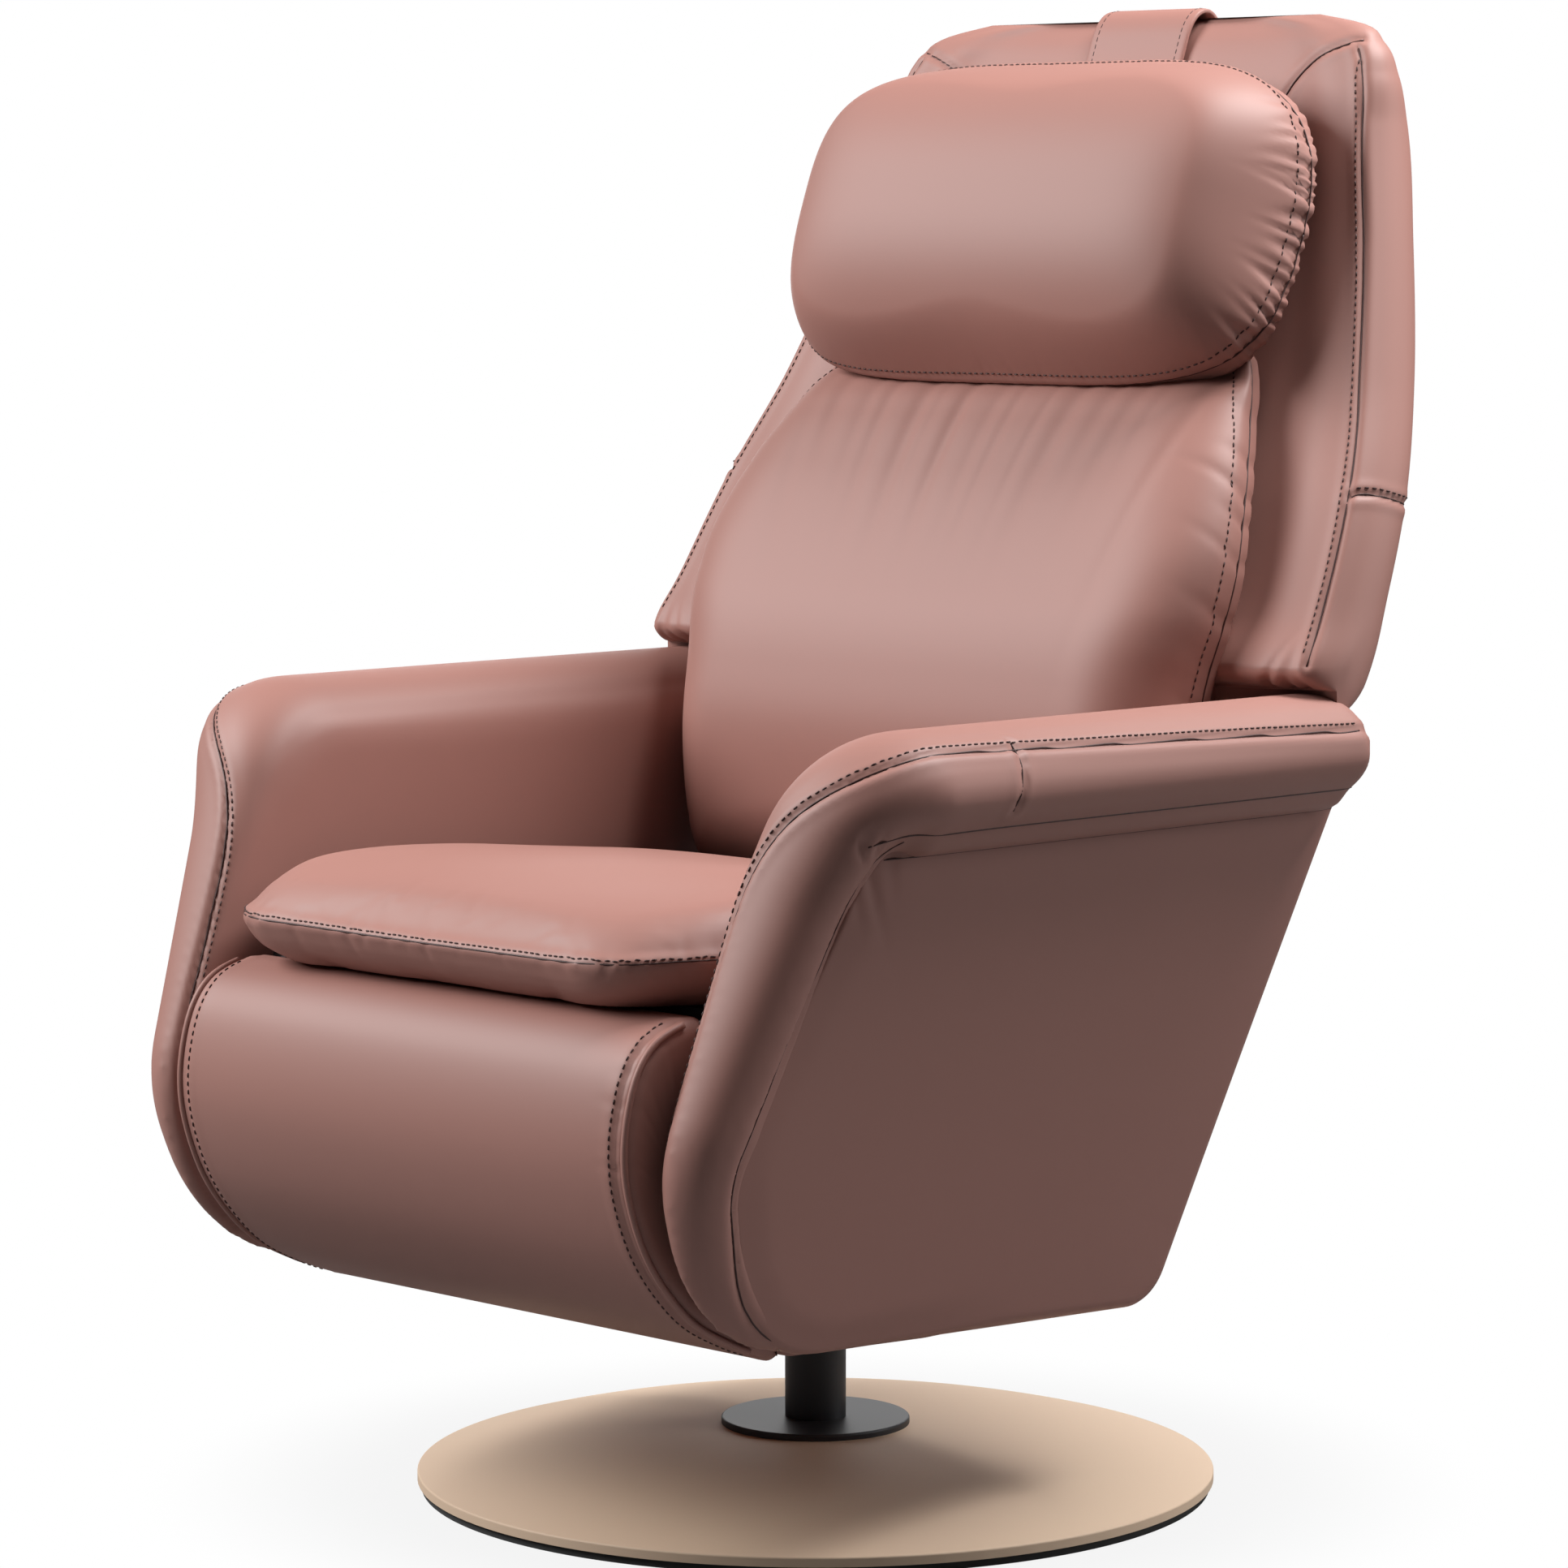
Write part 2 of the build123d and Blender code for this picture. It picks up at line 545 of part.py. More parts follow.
def lever(pivot, reach, angle, x):
    """Two lever plates on a pivot tube, joined by the pin that a rod drives."""
    pin_y, pin_z = turned(pivot, reach, angle)
    inner = LEVER_HALF_GAP
    outer = LEVER_HALF_GAP + LEVER_THICKNESS
    along = ((pin_y - pivot[0]) / reach, (pin_z - pivot[1]) / reach)
    across = (-along[1] * LEVER_RADIUS, along[0] * LEVER_RADIUS)
    corners = [
        (pivot[0] + across[0], pivot[1] + across[1]), (pin_y + across[0], pin_z + across[1]),
        (pin_y - across[0], pin_z - across[1]), (pivot[0] - across[0], pivot[1] - across[1])
    ]
    shape = bar_x(DRIVE_PIN_RADIUS, x - outer, x + outer, pin_y, pin_z)
    for side in (-1, 1):
        low = min(side * inner, side * outer)
        shape += plate_x(polygon(corners), x + low, x + low + LEVER_THICKNESS)
        shape += bar_x(LEVER_RADIUS, x + low, x + low + LEVER_THICKNESS, pin_y, pin_z)
    return shape


def drive_rod(pivot, reach, angles, x, bore_end):
    """A rod with a slotted yoke round the lever's pin."""
    low, high = pin_heights(pivot, reach, angles)
    pin_y, pin_z = turned(pivot, reach, angles[0])
    half_slot = DRIVE_PIN_RADIUS + YOKE_ROOM
    middle = (low + high) / 2
    slot_half_height = (high - low) / 2 + half_slot
    rim = half_slot + YOKE_RIM
    yoke = block(
        x - YOKE_HALF_THICKNESS, x + YOKE_HALF_THICKNESS, pin_y - rim, pin_y + rim,
        middle - slot_half_height - YOKE_RIM, middle + slot_half_height + YOKE_RIM
    )
    yoke = fillet(yoke.edges().filter_by(Axis.X), YOKE_RIM / 2)
    yoke -= block(
        x - YOKE_HALF_THICKNESS, x + YOKE_HALF_THICKNESS, pin_y - half_slot, pin_y + half_slot,
        middle - slot_half_height, middle + slot_half_height
    )
    start, end = sorted((bore_end, pin_y + rim if bore_end > pin_y else pin_y - rim))
    return yoke + bar_y(ROD_RADIUS, start, end, x, middle)


def drive_housing(name, x, z, tube_end):
    """Gearbox, motor and the tube that the rod slides in."""
    front = GEARBOX_FRONT[name]
    rear = front + GEARBOX_LENGTH
    box = block(
        x - GEARBOX_HALF_WIDTH, x + GEARBOX_HALF_WIDTH, front, rear,
        z - GEARBOX_HALF_HEIGHT, z + DRIVE_TUBE_RADIUS
    )
    box = fillet(box.edges().filter_by(Axis.Y), WEBBING_THICKNESS)
    middle = (front + rear) / 2
    start, end = (tube_end, middle) if tube_end < front else (middle, tube_end)
    housing = box + bar_y(DRIVE_TUBE_RADIUS, start, end, x, z)
    return housing - bar_y(ROD_RADIUS + RUNNING_FIT, start, end, x, z)


def drive_motor(name, x, z):
    """The motor that hangs from a gearbox."""
    middle = GEARBOX_FRONT[name] + GEARBOX_LENGTH - MOTOR_RADIUS
    top = z - GEARBOX_HALF_HEIGHT
    body = post(MOTOR_RADIUS - 2 * WEBBING_THICKNESS, top - MOTOR_LENGTH, top, x, middle)
    return body + post(MOTOR_RADIUS, top - MOTOR_LENGTH, top - WEBBING_THICKNESS, x, middle)


def drive_parts():
    """Both drives: housings and motors on the seat, rods that move."""
    legrest_z = legrest_drive_z()
    recline_z = recline_drive_z()
    leg_pin_y = turned(LEGREST_PIVOT, LEGREST_LEVER, legrest_lever_angles()[0])[0]
    back_pin_y = turned(RECLINE_PIVOT, RECLINE_LEVER, recline_lever_angles()[1])[0]
    rim = DRIVE_PIN_RADIUS + YOKE_ROOM + YOKE_RIM
    leg_tube_end = leg_pin_y + rim + 2
    back_tube_end = back_pin_y - rim - 2
    leg_bore_end = GEARBOX_FRONT["legrest"] + GEARBOX_LENGTH / 4
    back_bore_end = GEARBOX_FRONT["recline"] + 2 * GEARBOX_LENGTH
    leg_x = LEVER_X["legrest"]
    back_x = LEVER_X["recline"]
    legs = drive_rod(LEGREST_PIVOT, LEGREST_LEVER, legrest_lever_angles(), leg_x, leg_bore_end)
    back = drive_rod(RECLINE_PIVOT, RECLINE_LEVER, recline_lever_angles(), back_x, back_bore_end)
    length, width, height = BATTERY_SIZE
    battery = block(-length / 2, length / 2, BATTERY_FRONT, BATTERY_FRONT + width, HUB_TOP, HUB_TOP + height)
    battery = fillet(battery.edges(), 2 * WEBBING_THICKNESS)
    motors = [drive_motor("legrest", leg_x, legrest_z), drive_motor("recline", back_x, recline_z)]
    return {
        "legrest_drive": drive_housing("legrest", leg_x, legrest_z, leg_tube_end),
        "legrest_rod": legs,
        "recline_drive": drive_housing("recline", back_x, recline_z, back_tube_end),
        "recline_rod": back,
        "drive_motors": Compound(children=motors),
        "battery_pack": battery,
    }


# ---------------------------------------------------------------- sides and arms
def side_outline():
    """The whole side seen from beside the chair, arm and front band included."""
    return make_face(FilletPolyline(*SIDE_OUTLINE, radius=SIDE_RADII, close=True))


def core_outline():
    """What the front band and the arm pad leave of the side: board, liner and panel."""
    outline = side_outline()
    bounds = outline.bounding_box()
    middle_z = (bounds.min.Y + SIDE_TOP) / 2
    height = SIDE_TOP - bounds.min.Y
    below = Pos(0, middle_z) * Rectangle(2 * bounds.size.X, height)
    behind = Pos(BAND_END + bounds.size.X, middle_z) * Rectangle(2 * bounds.size.X, height)
    return (offset(outline, -BAND_DEPTH) & below) + (outline & behind)


def lean_slab(bottom_inner, top_inner, bottom_outer, top_outer, z0=SIDE_BOTTOM - SLAB_MARGIN, z1=ARM_TOP + SLAB_MARGIN):
    """A tall slab whose two faces lean like the chair's sides."""
    corners = [
        (line_at(z0, bottom_inner, top_inner), z0), (line_at(z0, bottom_outer, top_outer), z0),
        (line_at(z1, bottom_outer, top_outer), z1), (line_at(z1, bottom_inner, top_inner), z1)
    ]
    return extrude(Plane.XZ * polygon(corners), amount=BEYOND, both=True)


def band_edges(side, outside):
    """The long front edges of a side slab, on its outside or its inside."""
    chosen = []
    for edge in side.edges():
        middle = edge.center()
        half_x = line_at(
            middle.Z, (INNER_AT_BOTTOM + BAND_OUTER_AT_BOTTOM) / 2, (INNER_AT_TOP + BAND_OUTER_AT_TOP) / 2
        )
        along_side = abs(edge.bounding_box().size.X) < BAND_DEPTH / 2 and middle.Z < SIDE_TOP - 1
        if middle.Y < BAND_END and along_side and (middle.X > half_x) == outside:
            chosen.append(edge)
    return chosen


def side_parts():
    """Liner, plywood board, outer panel, front band and arm pad of the left side."""
    inner = (INNER_AT_BOTTOM, INNER_AT_TOP)
    liner_back = (INNER_AT_BOTTOM + LINER_THICKNESS, INNER_AT_TOP + LINER_THICKNESS)
    board_back = (liner_back[0] + BOARD_THICKNESS, liner_back[1] + BOARD_THICKNESS)
    outer = (BAND_OUTER_AT_BOTTOM, BAND_OUTER_AT_TOP)
    core = plate_x(core_outline(), 0, BEYOND)
    liner = core & lean_slab(*inner, *liner_back)
    board = core & lean_slab(*liner_back, *board_back)
    panel = core & lean_slab(*board_back, *outer)
    panel = fillet(panel.faces().sort_by(Axis.X)[-1].edges(), PANEL_EDGE)
    whole = plate_x(side_outline(), 0, BEYOND) & lean_slab(*inner, *outer)
    whole &= block(0, BEYOND, -BEYOND, BEYOND, 0, SIDE_TOP)
    whole = fillet(band_edges(whole, outside=True), BAND_EDGE)
    whole = fillet(band_edges(whole, outside=False), BAND_INNER_EDGE)
    band = whole - core
    switch = switch_box()
    liner -= switch
    bolts = []
    for y in SIDE_BOLT_PLACES:
        z = rail_middle()
        end = line_at(z, *board_back) - 2
        hole = bar_x(SIDE_BOLT_RADIUS + HOLE_ROOM, RAIL_OUTER - 40, end + 1, y, z)
        liner -= hole
        board -= hole
        bolt = bar_x(SIDE_BOLT_RADIUS, RAIL_INNER, end, y, z)
        bolt += bar_x(SIDE_BOLT_HEAD, RAIL_INNER - SIDE_BOLT_RADIUS, RAIL_INNER, y, z)
        bolts.append(bolt)
    return {
        "side_liner": liner,
        "side_board": board,
        "side_panel": panel,
        "front_band": band,
        "armrest": arm_pad(),
    }, Compound(children=bolts)


def arm_pad():
    """The padded arm: a crowned top that rolls over the outside."""
    inner = line_at(SIDE_TOP, INNER_AT_BOTTOM, INNER_AT_TOP)
    shoulder = ARM_TOP - ROLL_SEAM_DROP
    crown_x = (inner + ROLL_SEAM_X) / 2
    section = make_face(
        Line((ROLL_SEAM_X, SIDE_TOP), (inner, SIDE_TOP))
        + Line((inner, SIDE_TOP), (INNER_AT_TOP, shoulder))
        + ThreePointArc((INNER_AT_TOP, shoulder), (crown_x, ARM_TOP), (ROLL_SEAM_X, shoulder))
        + ThreePointArc(
            (ROLL_SEAM_X, shoulder), (ROLL_OUTER, (SIDE_TOP + shoulder) / 2), (ROLL_SEAM_X, SIDE_TOP)
        )
    )
    pad = extrude(Plane.XZ * section, amount=BEYOND, both=True)
    plan_corners = ((0, ARM_REAR), (ROLL_OUTER, ARM_REAR), (ROLL_OUTER, ARM_FRONT), (0, ARM_FRONT))
    plan = make_face(FilletPolyline(*plan_corners, radius=(1, ARM_REAR_CORNER, ARM_FRONT_CORNER, 1), close=True))
    pad &= extrude(plan, amount=BEYOND)
    return pad & plate_x(side_outline(), 0, BEYOND)


# ---------------------------------------------------------------- switch on the left arm
def switch_face():
    """The x of the liner's face where the switch sits."""
    return line_at(SWITCH_Z, INNER_AT_BOTTOM, INNER_AT_TOP)


def switch_box():
    """The switch housing's outer block."""
    front = switch_face() - SWITCH_PROUD
    return block(
        front, front + SWITCH_DEPTH, SWITCH_Y - SWITCH_LENGTH / 2, SWITCH_Y + SWITCH_LENGTH / 2,
        SWITCH_Z - SWITCH_HEIGHT / 2, SWITCH_Z + SWITCH_HEIGHT / 2
    )


def switch_parts():
    """A small plate with four push buttons on the inside of the left arm."""
    plate = switch_box()
    front = switch_face() - SWITCH_PROUD
    plate = fillet(plate.edges().filter_by(Axis.X), SWITCH_PROUD)
    floor = front + SWITCH_DEPTH - 1
    parts = {}
    for number in range(BUTTON_COUNT):
        y = SWITCH_Y + (number - (BUTTON_COUNT - 1) / 2) * BUTTON_PITCH
        plate -= bar_x(BUTTON_RADIUS + RUNNING_FIT, front, floor, y, SWITCH_Z)
        button = bar_x(BUTTON_RADIUS, front - BUTTON_PROUD, floor - BUTTON_TRAVEL - SEAT_GAP, y, SWITCH_Z)
        parts[f"button_{number + 1}"] = fillet(button.edges().group_by(Axis.X)[0], BUTTON_PROUD / 2)
    parts["switch_plate"] = plate
    return parts


# ---------------------------------------------------------------- covers
def cover_strip():
    """Side view of the padded cover under the seat and up its back."""
    middle_z = BELLY_BOTTOM + COVER_THICKNESS / 2
    line = FilletPolyline(
        (BELLY_FRONT, middle_z + BELLY_FRONT_RISE), (BELLY_BEND_Y, middle_z), (REAR_CORNER_Y, middle_z),
        REAR_PANEL_TOP, radius=BELLY_CORNER_RADIUS
    )
    return trace(line, line_width=COVER_THICKNESS)


def cover_parts():
    """Belly cover with the column's hole, and the rear panel above it."""
    strip = plate_x(cover_strip(), -BELLY_HALF_WIDTH, BELLY_HALF_WIDTH)
    below = block(-BELLY_HALF_WIDTH, BELLY_HALF_WIDTH, -BEYOND, BEYOND, 0, COVER_SPLIT_Z)
    belly = (strip & below) - post(COLUMN_HOLE_RADIUS, 0, COVER_SPLIT_Z)
    return {"belly_cover": belly, "rear_panel": strip - below}


# ---------------------------------------------------------------- leg rest
def legrest_pad():
    """The upholstered front panel that becomes the leg rest."""
    top = LEGREST_FACE[0]
    end = LEGREST_FACE[-1]
    face_line = Spline(*LEGREST_FACE)
    back = Polyline(
        end, (end[0], end[1] + 14), (LEGREST_BACK_X + LEGREST_BOARD_THICKNESS, LEGREST_BOARD_BOTTOM),
        (LEGREST_BACK_X, LEGREST_BOARD_BOTTOM), (LEGREST_BACK_X, top[1] - 6), top
    )
    pad = plate_x(make_face(face_line + back), -LEGREST_HALF_WIDTH, LEGREST_HALF_WIDTH)
    ends = pad.faces().sort_by(Axis.X)
    front_edges = [max(face.edges(), key=lambda edge: edge.length) for face in (ends[0], ends[-1])]
    return fillet(front_edges, LEGREST_EDGE)


def legrest_parts():
    """Pad, board and runners that slide on the arms of the swing frame."""
    board_back = LEGREST_BACK_X + LEGREST_BOARD_THICKNESS
    board = block(
        -LEGREST_HALF_WIDTH + LEGREST_BOARD_THICKNESS, LEGREST_HALF_WIDTH - LEGREST_BOARD_THICKNESS,
        LEGREST_BACK_X, board_back, LEGREST_BOARD_BOTTOM, LEGREST_BOARD_TOP
    )
    bar_front = board_back + RUNNER_WALL
    bar_rear = bar_front + ARM_BAR_DEPTH
    half_bar = ARM_BAR_WIDTH / 2
    arm = block(ARM_BAR_X - half_bar, ARM_BAR_X + half_bar, bar_front, bar_rear, ARM_BAR_BOTTOM, LEGREST_PIVOT[1])
    arm -= bar_x(PIVOT_TUBE_RADIUS, ARM_BAR_X - RUNNER_WIDTH, ARM_BAR_X + RUNNER_WIDTH, *LEGREST_PIVOT)
    half_runner = RUNNER_WIDTH / 2
    runner = block(
        ARM_BAR_X - half_runner, ARM_BAR_X + half_runner, board_back, bar_rear + RUNNER_WALL, RUNNER_BOTTOM, RUNNER_TOP
    )
    runner -= block(
        ARM_BAR_X - half_bar - RUNNER_SLIP, ARM_BAR_X + half_bar + RUNNER_SLIP, bar_front - RUNNER_SLIP,
        bar_rear + RUNNER_SLIP, RUNNER_BOTTOM, RUNNER_TOP
    )
    return {
        "legrest_pivot_tube": pivot_tube(
            LEGREST_PIVOT,
            lever(LEGREST_PIVOT, LEGREST_LEVER, legrest_lever_angles()[0], LEVER_X["legrest"])
        ),
        "legrest_arms": pair(arm),
        "legrest_runners": pair(runner),
        "legrest_board": board,
        "legrest_pad": legrest_pad(),
    }


# ---------------------------------------------------------------- cushions
def seat_cushion():
    """Crowned seat cushion, lofted from front to back."""
    faces = []
    for y, inset, low, high, crown in SEAT_STATIONS:
        half_width = INNER_AT_BOTTOM - inset
        corner = (high - crown - low) / 3
        plane = Plane(origin=(0, y, 0), x_dir=(1, 0, 0), z_dir=(0, -1, 0))
        faces.append(plane * soft_face(half_width, low, high, crown, corner, corner))
    cushion = loft(faces)
    bounds = cushion.bounding_box()
    webbing_top = RAIL_TOP + WEBBING_THICKNESS + SEAT_GAP
    return cushion - block(
        bounds.min.X - 1, bounds.max.X + 1, bounds.min.Y - 1, bounds.max.Y + 1, bounds.min.Z - 1, webbing_top
    )


def back_cushion():
    """Lumbar back cushion, lofted upwards; its rear follows the shell's front."""
    faces = []
    for z, inset, front, rear, crown in CUSHION_LEVELS:
        half_width = INNER_AT_TOP - inset
        corner = (rear - front - crown) * 0.42
        plane = Plane(origin=(0, 0, z), x_dir=(-1, 0, 0), z_dir=(0, 0, 1))
        faces.append(plane * soft_face(half_width, -rear, -front, crown, corner / 2, corner))
    return loft(faces)


def pillow_plane(height):
    """A plane across the head pillow, square to its lean."""
    lean = radians(LEAN)
    up = (0, sin(lean), cos(lean))
    origin = (0, PILLOW_CENTRE[0] + height * up[1], PILLOW_CENTRE[1] + height * up[2])
    return Plane(origin=origin, x_dir=(-1, 0, 0), z_dir=up)


def pillow_bed():
    """The room that the head pillow slides in, cut out of the back cushion."""
    depth = max(back for _, _, _, back in PILLOW_SECTIONS) + PILLOW_ROOM
    start = PILLOW_SECTIONS[0][0] - PILLOW_ROOM
    size = 2 * TONGUE_HALF_WIDTH
    return pillow_plane(start) * block(-size, size, -depth, size, 0, size)


def head_pillow():
    """The head pillow: fuller in front than behind."""
    faces = []
    for height, half_width, front, back in PILLOW_SECTIONS:
        corner = front * 0.55
        faces.append(pillow_plane(height) * soft_face(half_width, -back, front, front * 0.3, back * 0.8, corner))
    return loft(faces)


# ---------------------------------------------------------------- back shell
def shell_level(z):
    """Half width, front and rear of the shell between its named levels."""
    for low, high in zip(SHELL_LEVELS, SHELL_LEVELS[1:]):
        if low[0] <= z <= high[0]:
            part = (z - low[0]) / (high[0] - low[0])
            return [a + (b - a) * part for a, b in zip(low[1:], high[1:])]
    raise ValueError("no shell at this height")


def whole_shell():
    """Winged upper shell on the narrower tongue that goes down between the arms."""
    faces = []
    for z, half_width, front, rear in SHELL_LEVELS:
        corner = min(SHELL_CORNER, (rear - front) / 3)
        outline = RectangleRounded(2 * half_width, rear - front, corner)
        faces.append(Pos(0, (front + rear) / 2, z) * outline)
    wings = loft(faces)
    bottom, half_width, front, rear = SHELL_LEVELS[0]
    tongue = plate_x(
        polygon(
            [(TONGUE_FRONT, TONGUE_BOTTOM), (front, bottom + 1), (rear - 2, bottom + 1), (TONGUE_REAR, TONGUE_BOTTOM)]
        ),
        -TONGUE_HALF_WIDTH, TONGUE_HALF_WIDTH
    )
    return wings + tongue


def backboard_line(depth):
    """Side view points at a depth behind the shell's front, from the tongue to the top."""
    points = [(TONGUE_FRONT + depth, TONGUE_BOTTOM)]
    points += [(front + depth, z) for z, _, front, _ in SHELL_LEVELS if z < BACKBOARD_TOP]
    return points


def backboard():
    """The plywood board inside the shell."""
    front = backboard_line(BACKBOARD_DEPTH)
    rear = backboard_line(BACKBOARD_DEPTH + BACKBOARD_THICKNESS)
    side_view = plate_x(polygon(front + rear[::-1]), -BEYOND, BEYOND)
    tongue_x = TONGUE_HALF_WIDTH - BACKBOARD_INSET
    right = [(tongue_x, TONGUE_BOTTOM), (tongue_x, SHELL_LEVELS[0][0] + BACKBOARD_INSET)]
    right += [(level[1] - BACKBOARD_INSET, level[0]) for level in SHELL_LEVELS[1:] if level[0] < BACKBOARD_TOP]
    left = [(-x, z) for x, z in right[::-1]]
    front_view = extrude(Plane.XZ * polygon(right + left), amount=BEYOND, both=True)
    return side_view & front_view


def back_parts():
    """Front upholstery, board and rear cover of the back, with its hinge steel."""
    shell = whole_shell()
    board = backboard()
    split = backboard_line(BACKBOARD_DEPTH + BACKBOARD_THICKNESS)
    top_z = SHELL_LEVELS[-1][0] + 40
    top_y = SHELL_LEVELS[-1][2] + 12
    front_region = plate_x(
        polygon(
            [(-BEYOND, 0), (split[0][0], 0)] + split + [(top_y, top_z), (-BEYOND, top_z)]
        ),
        -BEYOND, BEYOND
    )
    front = (shell & front_region) - board
    rear = (shell - front_region) - board
    foot_top = TONGUE_BOTTOM
    foot_bottom = foot_top - HINGE_PLATE_FOOT
    half = HINGE_PLATE_WIDTH / 2
    foot = block(HINGE_PLATE_X - half, HINGE_PLATE_X + half, TONGUE_FRONT + 4, TONGUE_REAR - 6, foot_bottom, foot_top)
    web = polygon(
        [
            (RECLINE_PIVOT[0] - 8, RECLINE_PIVOT[1] + 2), (RECLINE_PIVOT[0] + 9, RECLINE_PIVOT[1] - 2),
            (TONGUE_REAR - 10, foot_bottom), (TONGUE_FRONT + 6, foot_bottom)
        ]
    )
    plate = foot + plate_x(web, HINGE_PLATE_X - BRACKET_THICKNESS / 2, HINGE_PLATE_X + BRACKET_THICKNESS / 2)
    plate -= bar_x(PIVOT_TUBE_RADIUS, HINGE_PLATE_X - half, HINGE_PLATE_X + half, *RECLINE_PIVOT)
    return {
        "back_board": board,
        "back_front_pad": front,
        "back_rear_cover": rear,
        "back_pivot_tube": pivot_tube(
            RECLINE_PIVOT, lever(RECLINE_PIVOT, RECLINE_LEVER, RECLINE_LEVER_REST, LEVER_X["recline"])
        ),
        "back_hinge_plates": pair(plate),
        "back_cushion": back_cushion() - shell - pillow_bed(),
    }


def beside(points, distance):
    """The points of a side-view line, moved to its left by a distance."""
    moved = []
    for number, (y, z) in enumerate(points):
        before = points[max(number - 1, 0)]
        after = points[min(number + 1, len(points) - 1)]
        along = (after[0] - before[0], after[1] - before[1])
        length = hypot(*along)
        moved.append((y - along[1] / length * distance, z + along[0] / length * distance))
    return moved


def strap_line():
    """Side view of the strap's inner side: up the shell's front, over its top, down its rear."""
    top_z, _, top_front, top_rear = SHELL_LEVELS[-1]
    points = [(shell_level(STRAP_FRONT_BOTTOM)[1], STRAP_FRONT_BOTTOM)]
    points += [(front, z) for z, _, front, _ in SHELL_LEVELS if STRAP_FRONT_BOTTOM < z < top_z - STRAP_EDGE_RISE]
    points += [(top_front - STRAP_EDGE_RISE / 3, top_z + STRAP_EDGE_RISE / 3)]
    points += [(top_rear - STRAP_EDGE_RISE / 3, top_z + STRAP_EDGE_RISE / 3)]
    points += [(rear, z) for z, _, _, rear in SHELL_LEVELS[::-1] if STRAP_REAR_BOTTOM < z < top_z - STRAP_EDGE_RISE]
    points += [(shell_level(STRAP_REAR_BOTTOM)[2], STRAP_REAR_BOTTOM)]
    return beside(points, STRAP_ROOM)


def strap_and_weight():
    """The strap over the top edge, and the weight that balances the pillow behind."""
    inner = strap_line()
    outer = beside(inner, STRAP_THICKNESS)
    outline = Spline(*inner) + Line(inner[-1], outer[-1]) + Spline(*outer[::-1]) + Line(outer[0], inner[0])
    strap = plate_x(make_face(outline), -STRAP_HALF_WIDTH, STRAP_HALF_WIDTH) - whole_shell()
    top = WEIGHT_BOTTOM + WEIGHT_HEIGHT
    room = STRAP_ROOM + STRAP_THICKNESS + WEIGHT_ROOM
    low_y = shell_level(WEIGHT_BOTTOM)[2] + room
    high_y = shell_level(top)[2] + room
    side_view = polygon(
        [
            (low_y, WEIGHT_BOTTOM), (low_y + WEIGHT_THICKNESS, WEIGHT_BOTTOM),
            (high_y + WEIGHT_THICKNESS, top), (high_y, top)
        ]
    )
    weight = plate_x(side_view, -WEIGHT_HALF_WIDTH, WEIGHT_HALF_WIDTH)
    rear_face = weight.faces().sort_by(Axis.Y)[-1]
    return {"headrest_strap": strap, "headrest_weight": fillet(rear_face.edges(), WEIGHT_THICKNESS / 3)}


def plain_right_side(name, shape):
    """The right liner has no switch, so its pocket is filled again."""
    if name != "side_liner":
        return shape
    pocket = switch_box() & lean_slab(
        INNER_AT_BOTTOM, INNER_AT_TOP, INNER_AT_BOTTOM + LINER_THICKNESS, INNER_AT_TOP + LINER_THICKNESS
    )
    return shape + pocket


def main():
    """Build every piece and write one file for each."""
    os.makedirs("parts", exist_ok=True)
    parts = {}
    parts.update(base_parts())
    parts.update(swivel_parts())
    parts.update(tower_parts())
    parts.update(rail_parts())
    parts.update(pivot_parts())
    parts.update(drive_parts())
    left_side, left_bolts = side_parts()
    for name, shape in left_side.items():
        parts[name + "_left"] = shape
        parts[name + "_right"] = mirrored(plain_right_side(name, shape))
    parts["side_bolts"] = pair(left_bolts)
    parts.update(cover_parts())
    parts.update(legrest_parts())
    parts["seat_cushion"] = seat_cushion()
    parts.update(back_parts())
    parts.update(strap_and_weight())
    parts["headrest_pillow"] = head_pillow()
    parts.update(switch_parts())
    for name, shape in parts.items():
        export_step(shape, f"parts/{name}.step")


main()
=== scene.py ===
import json
import math

import bpy
import numpy as np
from mathutils.bvhtree import BVHTree
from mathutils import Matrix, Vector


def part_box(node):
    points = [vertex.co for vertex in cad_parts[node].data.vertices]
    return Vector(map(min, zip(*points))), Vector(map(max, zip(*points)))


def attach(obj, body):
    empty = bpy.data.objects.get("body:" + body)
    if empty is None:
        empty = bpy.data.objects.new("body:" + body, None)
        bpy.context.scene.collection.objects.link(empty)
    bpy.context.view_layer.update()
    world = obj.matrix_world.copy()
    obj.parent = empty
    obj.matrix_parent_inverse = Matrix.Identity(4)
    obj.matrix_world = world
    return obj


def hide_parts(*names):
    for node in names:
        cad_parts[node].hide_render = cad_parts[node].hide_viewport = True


bl_info = {
    "name": "Swivel recliner dressing",
    "version": (1, 0, 0),
    "blender": (4, 5, 0),
    "location": "View3D > Sidebar > Recliner",
    "description": "Leather, stitching, finishes and stage for a swivel recliner on a disc base",
    "category": "Object",
}

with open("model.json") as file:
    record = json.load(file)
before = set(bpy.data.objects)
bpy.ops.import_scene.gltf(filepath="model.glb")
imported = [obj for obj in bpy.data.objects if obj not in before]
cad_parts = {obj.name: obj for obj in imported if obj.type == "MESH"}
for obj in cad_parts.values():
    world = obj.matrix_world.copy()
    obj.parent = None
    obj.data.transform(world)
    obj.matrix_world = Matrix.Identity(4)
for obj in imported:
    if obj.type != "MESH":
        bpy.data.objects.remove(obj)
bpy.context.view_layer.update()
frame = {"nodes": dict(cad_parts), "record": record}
MM = 0.001
SIDES = (("left", 1), ("right", -1))


